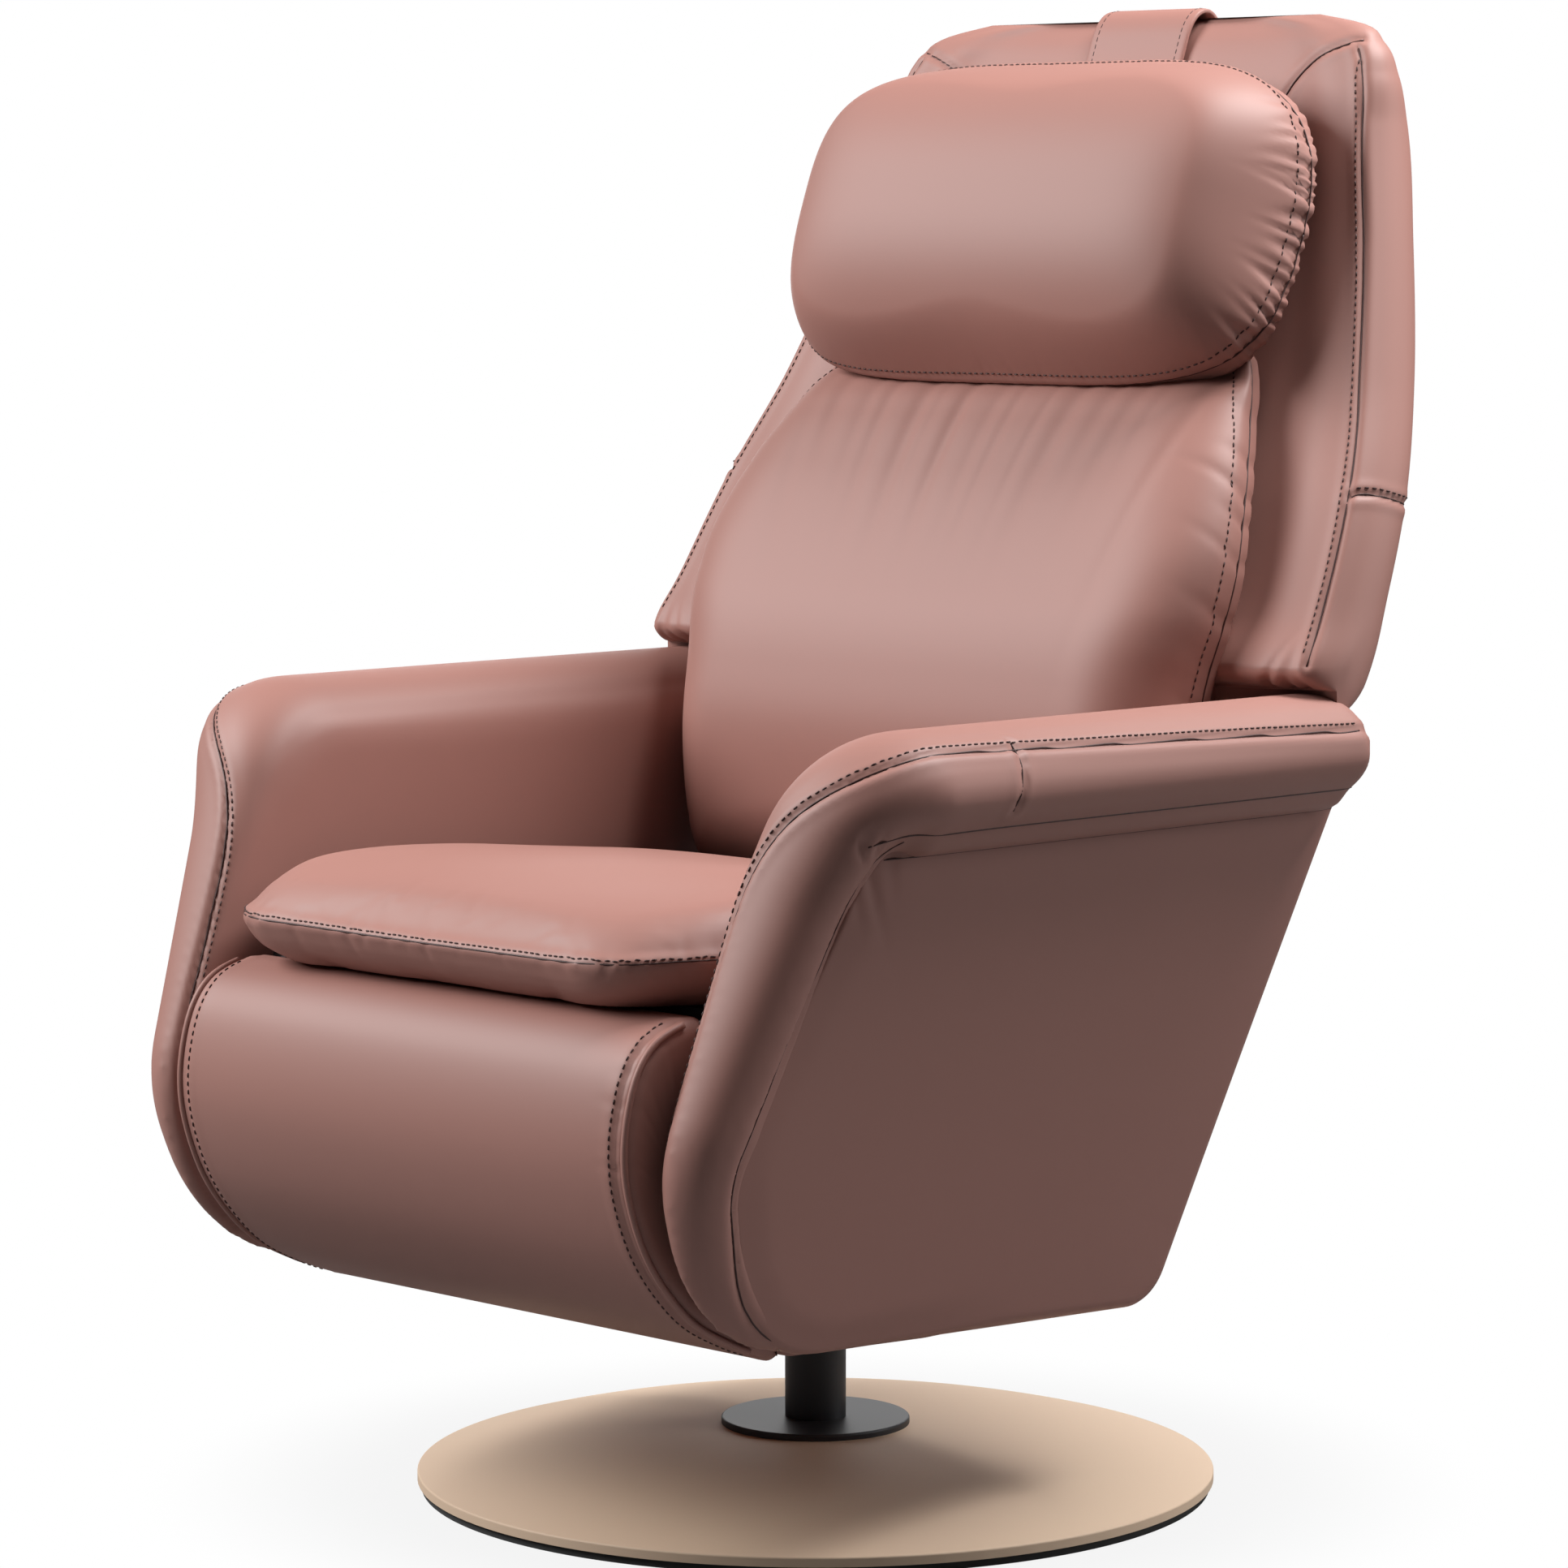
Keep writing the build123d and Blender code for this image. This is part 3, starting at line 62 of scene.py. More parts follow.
# ------------------------------------------------------------------ colours
def linear(code):
    """The linear RGBA of an sRGB hex colour."""
    values = [int(code[i:i + 2], 16) / 255 for i in (1, 3, 5)]
    return tuple(v / 12.92 if v <= 0.04045 else ((v + 0.055) / 1.055) ** 2.4 for v in values) + (1.0,)


# ------------------------------------------------------------------ settings
class RECLINER_PG_leather(bpy.types.PropertyGroup):
    """The leather's look and its stitching."""

    colour: bpy.props.StringProperty(
        name="Leather", description="Main tone of the leather, as an sRGB hex code", default="#6e2d22")
    deep_colour: bpy.props.StringProperty(
        name="Deep tone", description="Darker tone that the dye leaves in patches", default="#5f251b")
    thread_colour: bpy.props.StringProperty(
        name="Thread", description="Sewing thread, as an sRGB hex code", default="#3c1a15")
    grain: bpy.props.FloatProperty(
        name="Grain", description="Width of one grain pebble", default=1.1 * MM, unit="LENGTH")
    stitch_pitch: bpy.props.FloatProperty(
        name="Stitch pitch", description="Distance from one stitch to the next", default=6.0 * MM,
        unit="LENGTH")
    stitch_length: bpy.props.FloatProperty(
        name="Stitch length", description="Thread that shows in one stitch", default=3.8 * MM, unit="LENGTH")
    thread_radius: bpy.props.FloatProperty(
        name="Thread radius", description="Half the thread's thickness", default=0.65 * MM, unit="LENGTH")


class RECLINER_PG_shape(bpy.types.PropertyGroup):
    """How full the padding is."""

    seat_crown: bpy.props.FloatProperty(
        name="Seat crown", description="Height of the seat cushion above its seam", default=38 * MM,
        unit="LENGTH")
    pillow_crown: bpy.props.FloatProperty(
        name="Pillow crown", description="Depth of the head pillow in front of its seam plane",
        default=97 * MM, unit="LENGTH")
    pucker: bpy.props.FloatProperty(
        name="Pucker", description="Depth of the small folds beside the seams", default=2.6 * MM,
        unit="LENGTH")


class RECLINER_PG_stage(bpy.types.PropertyGroup):
    """Floor, light and camera."""

    floor_colour: bpy.props.StringProperty(
        name="Floor", description="Pale studio floor, as an sRGB hex code", default="#7e7e7e")
    floor_glow: bpy.props.FloatProperty(
        name="Floor white", description="How far the floor under the chair is lifted to white", default=0.88)
    top_power: bpy.props.FloatProperty(
        name="Top light", description="Power of the soft light overhead", default=108.0, unit="POWER")
    key_power: bpy.props.FloatProperty(
        name="Key light", description="Power of the large soft light at the front", default=180.0,
        unit="POWER")
    rim_power: bpy.props.FloatProperty(
        name="Side light", description="Power of the soft light at the rear left of the chair", default=28.0,
        unit="POWER")
    graze_power: bpy.props.FloatProperty(
        name="Grazing light", description="Power of the wide dim light at the rear right of the chair",
        default=22.0, unit="POWER")
    ambient: bpy.props.FloatProperty(
        name="Ambient", description="Strength of the even light from all round", default=0.05)


# ------------------------------------------------------------------ curves in space
def smooth_path(points, count, closed=False):
    """A smooth curve through the points, as evenly spaced points."""
    p = np.array(points, float)
    if closed:
        ext = np.vstack([p[-1:], p, p[:2]])
    else:
        ext = np.vstack([2 * p[:1] - p[1:2], p, 2 * p[-1:] - p[-2:-1]])
    t = np.linspace(0, 1, 24, endpoint=False)[:, None]
    runs = []
    for a, b, c, d in zip(ext, ext[1:], ext[2:], ext[3:]):
        runs.append(0.5 * (2 * b + (c - a) * t + (2 * a - 5 * b + 4 * c - d) * t ** 2
                           + (3 * b - a - 3 * c + d) * t ** 3))
    return even(np.vstack(runs + [p[:1] if closed else p[-1:]]), count, closed)


def even(line, count, closed=False):
    """The same line with evenly spaced points."""
    s = lengths(line)
    at = np.linspace(0, s[-1], count + 1 if closed else count)[:count]
    return np.column_stack([np.interp(at, s, line[:, k]) for k in range(line.shape[1])])


def lengths(line):
    """Distance along a line at each of its points."""
    return np.concatenate([[0], np.cumsum(np.linalg.norm(np.diff(line, axis=0), axis=1))])


def directions(line):
    """Unit directions along a line at each of its points."""
    along = np.gradient(line, axis=0)
    return along / np.linalg.norm(along, axis=1, keepdims=True)


def square_to(line):
    """Unit directions square to a flat line, a quarter turn from its own."""
    along = directions(line)
    return np.column_stack([-along[:, 1], along[:, 0]])


def off_line(line, out):
    """Places for a piece that follows a line in the side view: across, along and away from it."""
    s = lengths(line)

    def place(u, v, h):
        y, z = (np.interp(v, s, line[:, k]) + np.interp(v, s, out[:, k]) * h for k in (0, 1))
        return np.column_stack([u, y, z])

    return place


def rounded(corners, radii, count, closed=True):
    """Straight runs with rounded corners, as evenly spaced points."""
    p = np.array(corners, float)
    out = []
    for i, radius in enumerate(radii):
        if not closed and i in (0, len(p) - 1):
            out.append(p[i][None])
            continue
        a = p[i - 1] - p[i]
        b = p[(i + 1) % len(p)] - p[i]
        a, b = a / np.linalg.norm(a), b / np.linalg.norm(b)
        half = math.acos(np.clip(a @ b, -1, 1)) / 2
        middle = (a + b) / np.linalg.norm(a + b)
        centre = p[i] + middle * radius / math.sin(half)
        start = p[i] + a * radius / math.tan(half) - centre
        end = p[i] + b * radius / math.tan(half) - centre
        t = np.linspace(0, 1, 12)[:, None]
        turn = math.pi - 2 * half
        arc = (np.sin((1 - t) * turn) * start + np.sin(t * turn) * end) / math.sin(turn)
        out.append(centre + arc)
    line = np.vstack(out + ([out[0][:1]] if closed else []))
    return even(line, count, closed)


def table(x, stations):
    """Values between stations, smoothly; each station is (x, value)."""
    s = np.array(stations, float)
    if s[0, 0] > s[-1, 0]:
        s = s[::-1]
    x = np.clip(x, s[0, 0], s[-1, 0])
    i = np.clip(np.searchsorted(s[:, 0], x, side="right") - 1, 0, len(s) - 2)
    slope = np.gradient(s[:, 1], s[:, 0])
    step = s[i + 1, 0] - s[i, 0]
    t = (x - s[i, 0]) / step
    return ((1 + 2 * t) * (1 - t) ** 2 * s[i, 1] + t * (1 - t) ** 2 * step * slope[i]
            + t * t * (3 - 2 * t) * s[i + 1, 1] + t * t * (t - 1) * step * slope[i + 1])


def ease(x, low, high):
    """0 below low, 1 above high, and a smooth rise between."""
    t = np.clip((x - low) / (high - low), 0, 1)
    return t * t * (3 - 2 * t)


def edge_round(distance, radius, power=2.0):
    """0 at an edge and 1 from radius inwards, like a rounded edge's height."""
    t = 1 - np.clip(distance / radius, 0, 1)
    return (1 - t ** power) ** (1 / power)


# ------------------------------------------------------------------ meshes
def new_mesh(name, verts, faces, smooth=True):
    """An object of that name from points and faces."""
    mesh = bpy.data.meshes.new(name)
    mesh.from_pydata([tuple(v) for v in np.asarray(verts)], [], faces)
    mesh.validate()
    mesh.update()
    if smooth:
        mesh.shade_smooth()
    obj = bpy.data.objects.new(name, mesh)
    bpy.context.scene.collection.objects.link(obj)
    return obj


def tube_faces(rings, around, closed_ends=True, offset=0):
    """Faces of a grid of rings that close on themselves, with a point at each end."""
    r, p = np.meshgrid(np.arange(rings - 1), np.arange(around), indexing="ij")
    q = (p + 1) % around
    quads = np.stack([r * around + p, r * around + q, (r + 1) * around + q, (r + 1) * around + p], -1)
    faces = (quads.reshape(-1, 4) + offset).tolist()
    if closed_ends:
        first, last = rings * around + offset, rings * around + 1 + offset
        for i in range(around):
            j = (i + 1) % around
            faces.append([offset + j, offset + i, first])
            faces.append([offset + (rings - 1) * around + i, offset + (rings - 1) * around + j, last])
    return faces


def skin(name, rings):
    """A closed form from rings of points; its two ends come to a middle point."""
    rings = np.asarray(rings)
    count, around = rings.shape[:2]
    verts = np.vstack([rings.reshape(-1, 3), rings[0].mean(0), rings[-1].mean(0)])
    return new_mesh(name, verts, tube_faces(count, around))


def puff(name, outline, place, front, back, rings=40, centre=None):
    """A stuffed form: both faces run from one seam outline to the middle.

    front and back give the height of each face from the flat point and its distance to the seam.
    """
    centre = outline.mean(0) if centre is None else np.array(centre)
    reach = np.linalg.norm(outline - centre, axis=1)
    q = 1 - (np.arange(rings) / rings) ** 1.35
    loops = []
    for side, height in ((-1, back), (1, front)):
        order = q[::-1] if side < 0 else q[1:]
        for value in order:
            flat = centre + (outline - centre) * value
            away = height(flat[:, 0], flat[:, 1], (1 - value) * reach)
            loops.append(place(flat[:, 0], flat[:, 1], side * away))
    return skin(name, loops)


def seam_of(outline, place, height=0.0):
    """The closed seam round an outline, at one height above its seam plane."""
    flat = np.vstack([outline, outline[:1]])
    return place(flat[:, 0], flat[:, 1], np.full(len(flat), height))


def joined(pieces):
    """The points and the faces of several pieces."""
    verts, faces = [], []
    for obj in pieces:
        start = len(verts)
        verts += [v.co.copy() for v in obj.data.vertices]
        faces += [[start + i for i in f.vertices] for f in obj.data.polygons]
    return verts, faces


def fused(name, pieces, voxel, rounds):
    """One closed skin over several closed forms that overlap."""
    whole = new_mesh(name, *joined(pieces))
    for obj in pieces:
        bpy.data.objects.remove(obj)
    remesh = whole.modifiers.new("remesh", "REMESH")
    remesh.mode = "VOXEL"
    remesh.voxel_size = voxel
    soften = whole.modifiers.new("smooth", "SMOOTH")
    soften.factor = 0.5
    soften.iterations = rounds
    apply_modifiers(whole)
    whole.data.shade_smooth()
    return whole


def mirror_copy(obj, name):
    """The same piece for the other side of the chair."""
    other = bpy.data.objects.new(name, obj.data.copy())
    bpy.context.scene.collection.objects.link(other)
    move_points(other, coords(other) * (-1, 1, 1))
    other.data.flip_normals()
    return other


def coords(obj):
    """The points of a piece as an array."""
    out = np.empty(len(obj.data.vertices) * 3)
    obj.data.vertices.foreach_get("co", out)
    return out.reshape(-1, 3)


def move_points(obj, points):
    """Give a piece its new points."""
    obj.data.vertices.foreach_set("co", np.ascontiguousarray(points).ravel())
    obj.data.update()


def normals(obj):
    """The outward normals at a piece's points."""
    out = np.empty(len(obj.data.vertices) * 3)
    obj.data.vertex_normals.foreach_get("vector", out)
    return out.reshape(-1, 3)


def near_path(points, path):
    """For each point, its distance to a path and how far along the path that is."""
    s = lengths(path)
    best = np.full(len(points), 1e9)
    along = np.zeros(len(points))
    for a, b, s0, s1 in zip(path, path[1:], s, s[1:]):
        ab = b - a
        t = np.clip(((points - a) @ ab) / max(ab @ ab, 1e-12), 0, 1)
        d = np.linalg.norm(points - (a + t[:, None] * ab), axis=1)
        better = d < best
        best[better] = d[better]
        along[better] = (s0 + t * (s1 - s0))[better]
    return best, along


def press_seam(obj, path, width=2.2 * MM, depth=2.0 * MM, puff_up=0.35):
    """A sewn seam: a narrow groove with the leather standing a little proud on both sides."""
    points = coords(obj)
    lo, hi = path.min(0) - 0.03, path.max(0) + 0.03
    chosen = np.where(((points > lo) & (points < hi)).all(1))[0]
    if not len(chosen):
        return
    d, _ = near_path(points[chosen], path)
    shape = -np.exp(-(d / width) ** 2) + puff_up * np.exp(-((d - 3 * width) / (1.8 * width)) ** 2)
    points[chosen] += normals(obj)[chosen] * (shape * depth)[:, None]
    move_points(obj, points)


def folds(s, d, spots):
    """Depth of a set of small folds; each spot is (place, width, length, depth, slant)."""
    out = np.zeros_like(s)
    for place, width, length, depth, slant in spots:
        out += depth * np.exp(-((s - place - slant * d) / width) ** 2) * np.exp(-(d / length) ** 2)
    return out


def fold_spots(total, pitch, width, length, depth, seed, slant=0.0):
    """Irregular small folds spread along a seam."""
    rng = np.random.default_rng(seed)
    spots = []
    place = 0.0
    while place < total:
        place += pitch * rng.uniform(0.6, 1.5)
        spots.append((place, width * rng.uniform(0.7, 1.3), length * rng.uniform(0.4, 1.25),
                      depth * rng.uniform(0.3, 1.2), slant + rng.uniform(-0.25, 0.25)))
    return spots


def gather(obj, path, spots, reach=0.07):
    """Press small folds into a piece beside a seam path."""
    points = coords(obj)
    lo, hi = path.min(0) - reach, path.max(0) + reach
    chosen = np.where(((points > lo) & (points < hi)).all(1))[0]
    d, s = near_path(points[chosen], path)
    points[chosen] -= normals(obj)[chosen] * folds(s, d, spots)[:, None]
    move_points(obj, points)


def stuff(obj, cap, voxel=5 * MM, pressure=4.0, frames=20):
    """Swell a piece by cloth simulation: no point moves further than cap."""
    remesh = obj.modifiers.new("remesh", "REMESH")
    remesh.mode = "VOXEL"
    remesh.voxel_size = voxel
    apply_modifiers(obj)
    rest = coords(obj)
    cloth = obj.modifiers.new("cloth", "CLOTH")
    cloth.settings.use_pressure = True
    cloth.settings.uniform_pressure_force = pressure
    cloth.settings.effector_weights.gravity = 0
    cloth.settings.quality = 4
    scene = bpy.context.scene
    for number in range(1, frames + 1):
        scene.frame_set(number)
    apply_modifiers(obj)
    scene.frame_set(1)
    move = coords(obj) - rest
    far = np.linalg.norm(move, axis=1, keepdims=True)
    move_points(obj, rest + move * np.minimum(1, cap / np.maximum(far, 1e-9)))
    sub = obj.modifiers.new("sub", "SUBSURF")
    sub.levels = sub.render_levels = 1
    apply_modifiers(obj)
    obj.data.shade_smooth()


def apply_modifiers(obj):
    """Replace a piece's mesh by what its modifiers make of it."""
    graph = bpy.context.evaluated_depsgraph_get()
    graph.update()
    mesh = bpy.data.meshes.new_from_object(obj.evaluated_get(graph))
    obj.modifiers.clear()
    obj.data = mesh


def surface(obj):
    """A piece's surface, ready to search."""
    return BVHTree.FromPolygons(*joined([obj]))


def on_surface(tree, path):
    """A path moved onto a surface, with the outward normals there."""
    found = [tree.find_nearest(tuple(p)) for p in path]
    return np.array([f[0] for f in found]), np.array([f[1] for f in found])


def laid(tree, points, count, sign=1):
    """A smooth line through the points, or through their mirror image, laid on a surface."""
    return on_surface(tree, smooth_path(np.array(points) * (sign, 1, 1), count))[0]


def softened(line, reach=7):
    """A line or a row of directions with its small jumps evened out."""
    width = min(reach, (len(line) - 1) // 2)
    kernel = np.hanning(2 * width + 3)[1:-1]
    padded = np.vstack([2 * line[:1] - line[width:0:-1], line, 2 * line[-1:] - line[-2:-width - 2:-1]])
    return np.column_stack([np.convolve(column, kernel / kernel.sum(), "valid") for column in padded.T])


def beside(tree, path, distance):
    """A path moved sideways over a surface."""
    at, out = on_surface(tree, path)
    at = softened(at)
    side = softened(np.cross(out, np.gradient(at, axis=0)))
    side /= np.linalg.norm(side, axis=1, keepdims=True)
    return at + side * distance


def sew(name, cloth, path, body, tree=None, offset=0.0):
    """A row of thread stitches laid on a leather piece along a path."""
    leather = bpy.context.scene.recliner_leather
    tree = tree or surface(cloth)
    if offset:
        path = beside(tree, path, offset)
    total = lengths(path)[-1]
    count = max(int(total / leather.stitch_pitch), 2)
    line = even(path, count * 2 + 1)
    at, out = on_surface(tree, line)
    around = 6
    spin = np.linspace(0, 2 * math.pi, around, endpoint=False)
    # Each stitch swells from its thin ends to its middle: place along it, and thickness.
    stations = ((-0.5, 0.25), (-0.4, 0.85), (0.0, 1.0), (0.4, 0.85), (0.5, 0.25))
    verts, faces = [], []
    for k in range(count):
        middle = at[2 * k + 1]
        along = at[2 * k + 2] - at[2 * k]
        size = np.linalg.norm(along)
        if size < 1e-5:
            continue
        along /= size
        normal = out[2 * k + 1]
        side = np.cross(normal, along)
        side /= max(np.linalg.norm(side), 1e-9)
        start = len(verts)
        for where, fat in stations:
            base = (middle + along * where * leather.stitch_length
                    + normal * leather.thread_radius * (0.9 * fat - 0.35))
            for angle in spin:
                turn = math.cos(angle) * side + math.sin(angle) * normal
                verts.append(base + leather.thread_radius * fat * turn)
        faces += tube_faces(len(stations), around, closed_ends=False, offset=start)
        last = start + (len(stations) - 1) * around
        faces.append([start + i for i in range(around - 1, -1, -1)])
        faces.append([last + i for i in range(around)])
    finish_piece(new_mesh(name, verts, faces), body, "thread")


def hoops(path, radius, side, up, around):
    """Rings of points round a path, between two directions square to it."""
    angles = np.linspace(0, 2 * math.pi, around, endpoint=False)
    cos, sin = np.cos(angles)[:, None], np.sin(angles)[:, None]
    return [p + radius * (cos * a + sin * b) for p, a, b in zip(path, side, up)]


def seam_line(name, cloth, path, body, radius=0.75 * MM):
    """The dark thread line that shows at the bottom of a sewn seam."""
    at, out = on_surface(surface(cloth), path)
    at, out = softened(at, 3), softened(out, 3)
    rings = hoops(at - 0.2 * radius * out, radius, np.cross(directions(at), out), out, 6)
    finish_piece(skin(name, rings), body, "thread")


def piping(name, path, radius, body):
    """A sewn-in leather cord along an edge."""
    along = directions(path)
    side = np.cross(along, (1.0, 0.0, 0.0))
    side /= np.maximum(np.linalg.norm(side, axis=1, keepdims=True), 1e-9)
    finish_piece(skin(name, hoops(path, radius, side, np.cross(along, side), 10)), body)


# ------------------------------------------------------------------ materials
def add_node(tree, kind, links=None, inputs=None, **settings):
    """Add a node with its settings, set its sockets and link them from other nodes."""
    made = tree.nodes.new(kind)
    for key, value in settings.items():
        setattr(made, key, value)
    for key, value in (inputs or {}).items():
        made.inputs[key].default_value = value
    for key, source in (links or {}).items():
        tree.links.new(source, made.inputs[key])
    return made


def blank(name):
    """An empty node material with its output and its principled shader."""
    material = bpy.data.materials.new(name)
    material.use_nodes = True
    tree = material.node_tree
    tree.nodes.clear()
    out = add_node(tree, "ShaderNodeOutputMaterial")
    shader = add_node(tree, "ShaderNodeBsdfPrincipled")
    tree.links.new(shader.outputs["BSDF"], out.inputs["Surface"])
    place = add_node(tree, "ShaderNodeTexCoord")
    return material, tree, shader, place.outputs["Object"]


def mix_colours(tree, factor, low, high):
    """A colour between two tones by a factor."""
    ramp = add_node(tree, "ShaderNodeValToRGB", links={"Fac": factor})
    ramp.color_ramp.elements[0].color = linear(low)
    ramp.color_ramp.elements[1].color = linear(high)
    return ramp


def leather_material(name, tone, deep, roughness, grain):
    """Semi-aniline leather: dyed through, milled soft and lightly glazed, with a fine pebble grain."""
    material, tree, shader, place = blank(name)
    # Dye takes unevenly over a hide, in patches about 90 mm across.
    patches = add_node(tree, "ShaderNodeTexNoise", links={"Vector": place},
                       inputs={"Scale": 1 / (90 * MM), "Detail": 3.0, "Roughness": 0.55})
    spread = add_node(tree, "ShaderNodeMapRange", links={"Value": patches.outputs["Fac"]},
                      inputs={"From Min": 0.3, "From Max": 0.7})
    ramp = mix_colours(tree, spread.outputs["Result"], deep, tone)
    tree.links.new(ramp.outputs["Color"], shader.inputs["Base Color"])
    # Pebbles of the grain, with finer pores between them.
    pebble = add_node(tree, "ShaderNodeTexVoronoi", links={"Vector": place},
                      inputs={"Scale": 1 / grain}, feature="SMOOTH_F1")
    pores = add_node(tree, "ShaderNodeTexNoise", links={"Vector": place},
                     inputs={"Scale": 1 / (0.5 * grain), "Detail": 2.0})
    relief = add_node(tree, "ShaderNodeMath", operation="ADD",
                      links={0: pebble.outputs["Distance"], 1: pores.outputs["Fac"]})
    # Slow waves of slack in the hide, about 35 mm across.
    slack = add_node(tree, "ShaderNodeTexNoise", links={"Vector": place},
                     inputs={"Scale": 1 / (35 * MM), "Detail": 1.0})
    fine = add_node(tree, "ShaderNodeBump", links={"Height": relief.outputs["Value"]},
                    inputs={"Strength": 0.16, "Distance": 0.12 * MM})
    broad = add_node(tree, "ShaderNodeBump",
                     links={"Height": slack.outputs["Fac"], "Normal": fine.outputs["Normal"]},
                     inputs={"Strength": 0.35, "Distance": 1.2 * MM})
    tree.links.new(broad.outputs["Normal"], shader.inputs["Normal"])
    gloss = add_node(tree, "ShaderNodeMapRange", links={"Value": patches.outputs["Fac"]},
                     inputs={"To Min": roughness + 0.05, "To Max": roughness - 0.05})
    tree.links.new(gloss.outputs["Result"], shader.inputs["Roughness"])
    shader.inputs["IOR"].default_value = 1.5
    shader.inputs["Specular IOR Level"].default_value = 1.0
    return material


def coated_material(name, tone, roughness, speck, metallic=0.0):
    """A plain coat or moulding with a fine orange-peel or spark texture."""
    material, tree, shader, place = blank(name)
    peel = add_node(tree, "ShaderNodeTexNoise", links={"Vector": place},
                    inputs={"Scale": 1 / speck, "Detail": 2.0})
    ramp = mix_colours(tree, peel.outputs["Fac"], tone, tone)
    first = ramp.color_ramp.elements[0]
    first.color = tuple(c * 0.86 for c in first.color[:3]) + (1.0,)
    tree.links.new(ramp.outputs["Color"], shader.inputs["Base Color"])
    bump = add_node(tree, "ShaderNodeBump", links={"Height": peel.outputs["Fac"]},
                    inputs={"Strength": 0.2, "Distance": 0.08 * MM})
    tree.links.new(bump.outputs["Normal"], shader.inputs["Normal"])
    wear = add_node(tree, "ShaderNodeTexNoise", links={"Vector": place},
                    inputs={"Scale": 1 / (60 * MM), "Detail": 2.0})
    gloss = add_node(tree, "ShaderNodeMapRange", links={"Value": wear.outputs["Fac"]},
                     inputs={"To Min": roughness - 0.05, "To Max": roughness + 0.06})
    tree.links.new(gloss.outputs["Result"], shader.inputs["Roughness"])
    shader.inputs["Metallic"].default_value = metallic
    return material


def wood_material(name, pale, dark, line_pitch, roughness):
    """Flat-sawn veneer under satin lacquer: long grain lines with fine pores along them."""
    material, tree, shader, place = blank(name)
    # The grain runs along x. A wave's bands lie 0.31 apart at scale 1, so this puts a line every line_pitch.
    stretch = add_node(tree, "ShaderNodeMapping", links={"Vector": place},
                       inputs={"Scale": (0.06, 1.0, 1.0)})
    lines = add_node(tree, "ShaderNodeTexWave", links={"Vector": stretch.outputs["Vector"]},
                     inputs={"Scale": 1 / (3.2 * line_pitch), "Distortion": 7.0, "Detail": 3.0,
                             "Detail Scale": 1.4},
                     bands_direction="Y")
    pores = add_node(tree, "ShaderNodeTexNoise", links={"Vector": stretch.outputs["Vector"]},
                     inputs={"Scale": 1 / (0.9 * MM), "Detail": 3.0})
    both = add_node(tree, "ShaderNodeMath", operation="MULTIPLY",
                    links={0: lines.outputs["Fac"], 1: pores.outputs["Fac"]})
    ramp = mix_colours(tree, both.outputs["Value"], pale, dark)
    ramp.color_ramp.elements[0].position = 0.1
    ramp.color_ramp.elements[1].position = 0.75
    tree.links.new(ramp.outputs["Color"], shader.inputs["Base Color"])
    bump = add_node(tree, "ShaderNodeBump", links={"Height": pores.outputs["Fac"]},
                    inputs={"Strength": 0.12, "Distance": 0.1 * MM})
    tree.links.new(bump.outputs["Normal"], shader.inputs["Normal"])
    shader.inputs["Roughness"].default_value = roughness
    return material


def woven_material(name, tone, pitch):
    """Woven elastic webbing: crossed threads."""
    material, tree, shader, place = blank(name)
    across = add_node(tree, "ShaderNodeTexWave", links={"Vector": place},
                      inputs={"Scale": 1 / (3.1 * pitch)}, bands_direction="X")
    down = add_node(tree, "ShaderNodeTexWave", links={"Vector": place},
                    inputs={"Scale": 1 / (3.1 * pitch)}, bands_direction="Y")
    weave = add_node(tree, "ShaderNodeMath", operation="MAXIMUM",
                     links={0: across.outputs["Fac"], 1: down.outputs["Fac"]})
    ramp = mix_colours(tree, weave.outputs["Value"], "#080808", tone)
    tree.links.new(ramp.outputs["Color"], shader.inputs["Base Color"])
    bump = add_node(tree, "ShaderNodeBump", links={"Height": weave.outputs["Value"]},
                    inputs={"Strength": 0.6, "Distance": 0.3 * MM})
    tree.links.new(bump.outputs["Normal"], shader.inputs["Normal"])
    shader.inputs["Roughness"].default_value = 0.85
    return material


def finish_piece(obj, body, material="leather"):
    """Give a new piece its material and the body that it rides on."""
    obj.data.materials.clear()
    obj.data.materials.append(bpy.data.materials[material])
    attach(obj, body)


# ------------------------------------------------------------------ the side's measures
SIDE_CORNERS = (
    (0.203, 0.605), (-0.303, 0.605), (-0.414, 0.315), (-0.374, 0.182), (0.076, 0.164), (0.205, 0.540))
SIDE_ROUNDING = (0.018, 0.092, 0.110, 0.126, 0.036, 0.024)


# A side's faces lean out evenly: distance from the middle at its foot and at the arm's top.
SIDE_FOOT, SIDE_RISE = 0.183, 0.422
INSIDE_AT_FOOT, INSIDE_AT_TOP = 0.246, 0.262
OUTSIDE_AT_FOOT, OUTSIDE_AT_TOP = 0.273, 0.348
SIDE_MIDDLE = (-0.09, 0.36)
SIDE_PADDING = 0.012


def inner_x(z):
    """Inside face of a side at a height."""
    return INSIDE_AT_FOOT + (INSIDE_AT_TOP - INSIDE_AT_FOOT) * (z - SIDE_FOOT) / SIDE_RISE


def outer_x(z):
    """Outside face of a side at a height."""
    return OUTSIDE_AT_FOOT + (OUTSIDE_AT_TOP - OUTSIDE_AT_FOOT) * (z - SIDE_FOOT) / SIDE_RISE


def arm_line(count):
    """Side view of the arm's top edge and the front band, from the rear to under the seat."""
    corners = ((0.205, 0.605),) + SIDE_CORNERS[1:4] + ((-0.262, 0.1775),)
    return rounded(corners, (0,) + SIDE_ROUNDING[1:4] + (0,), count, closed=False)


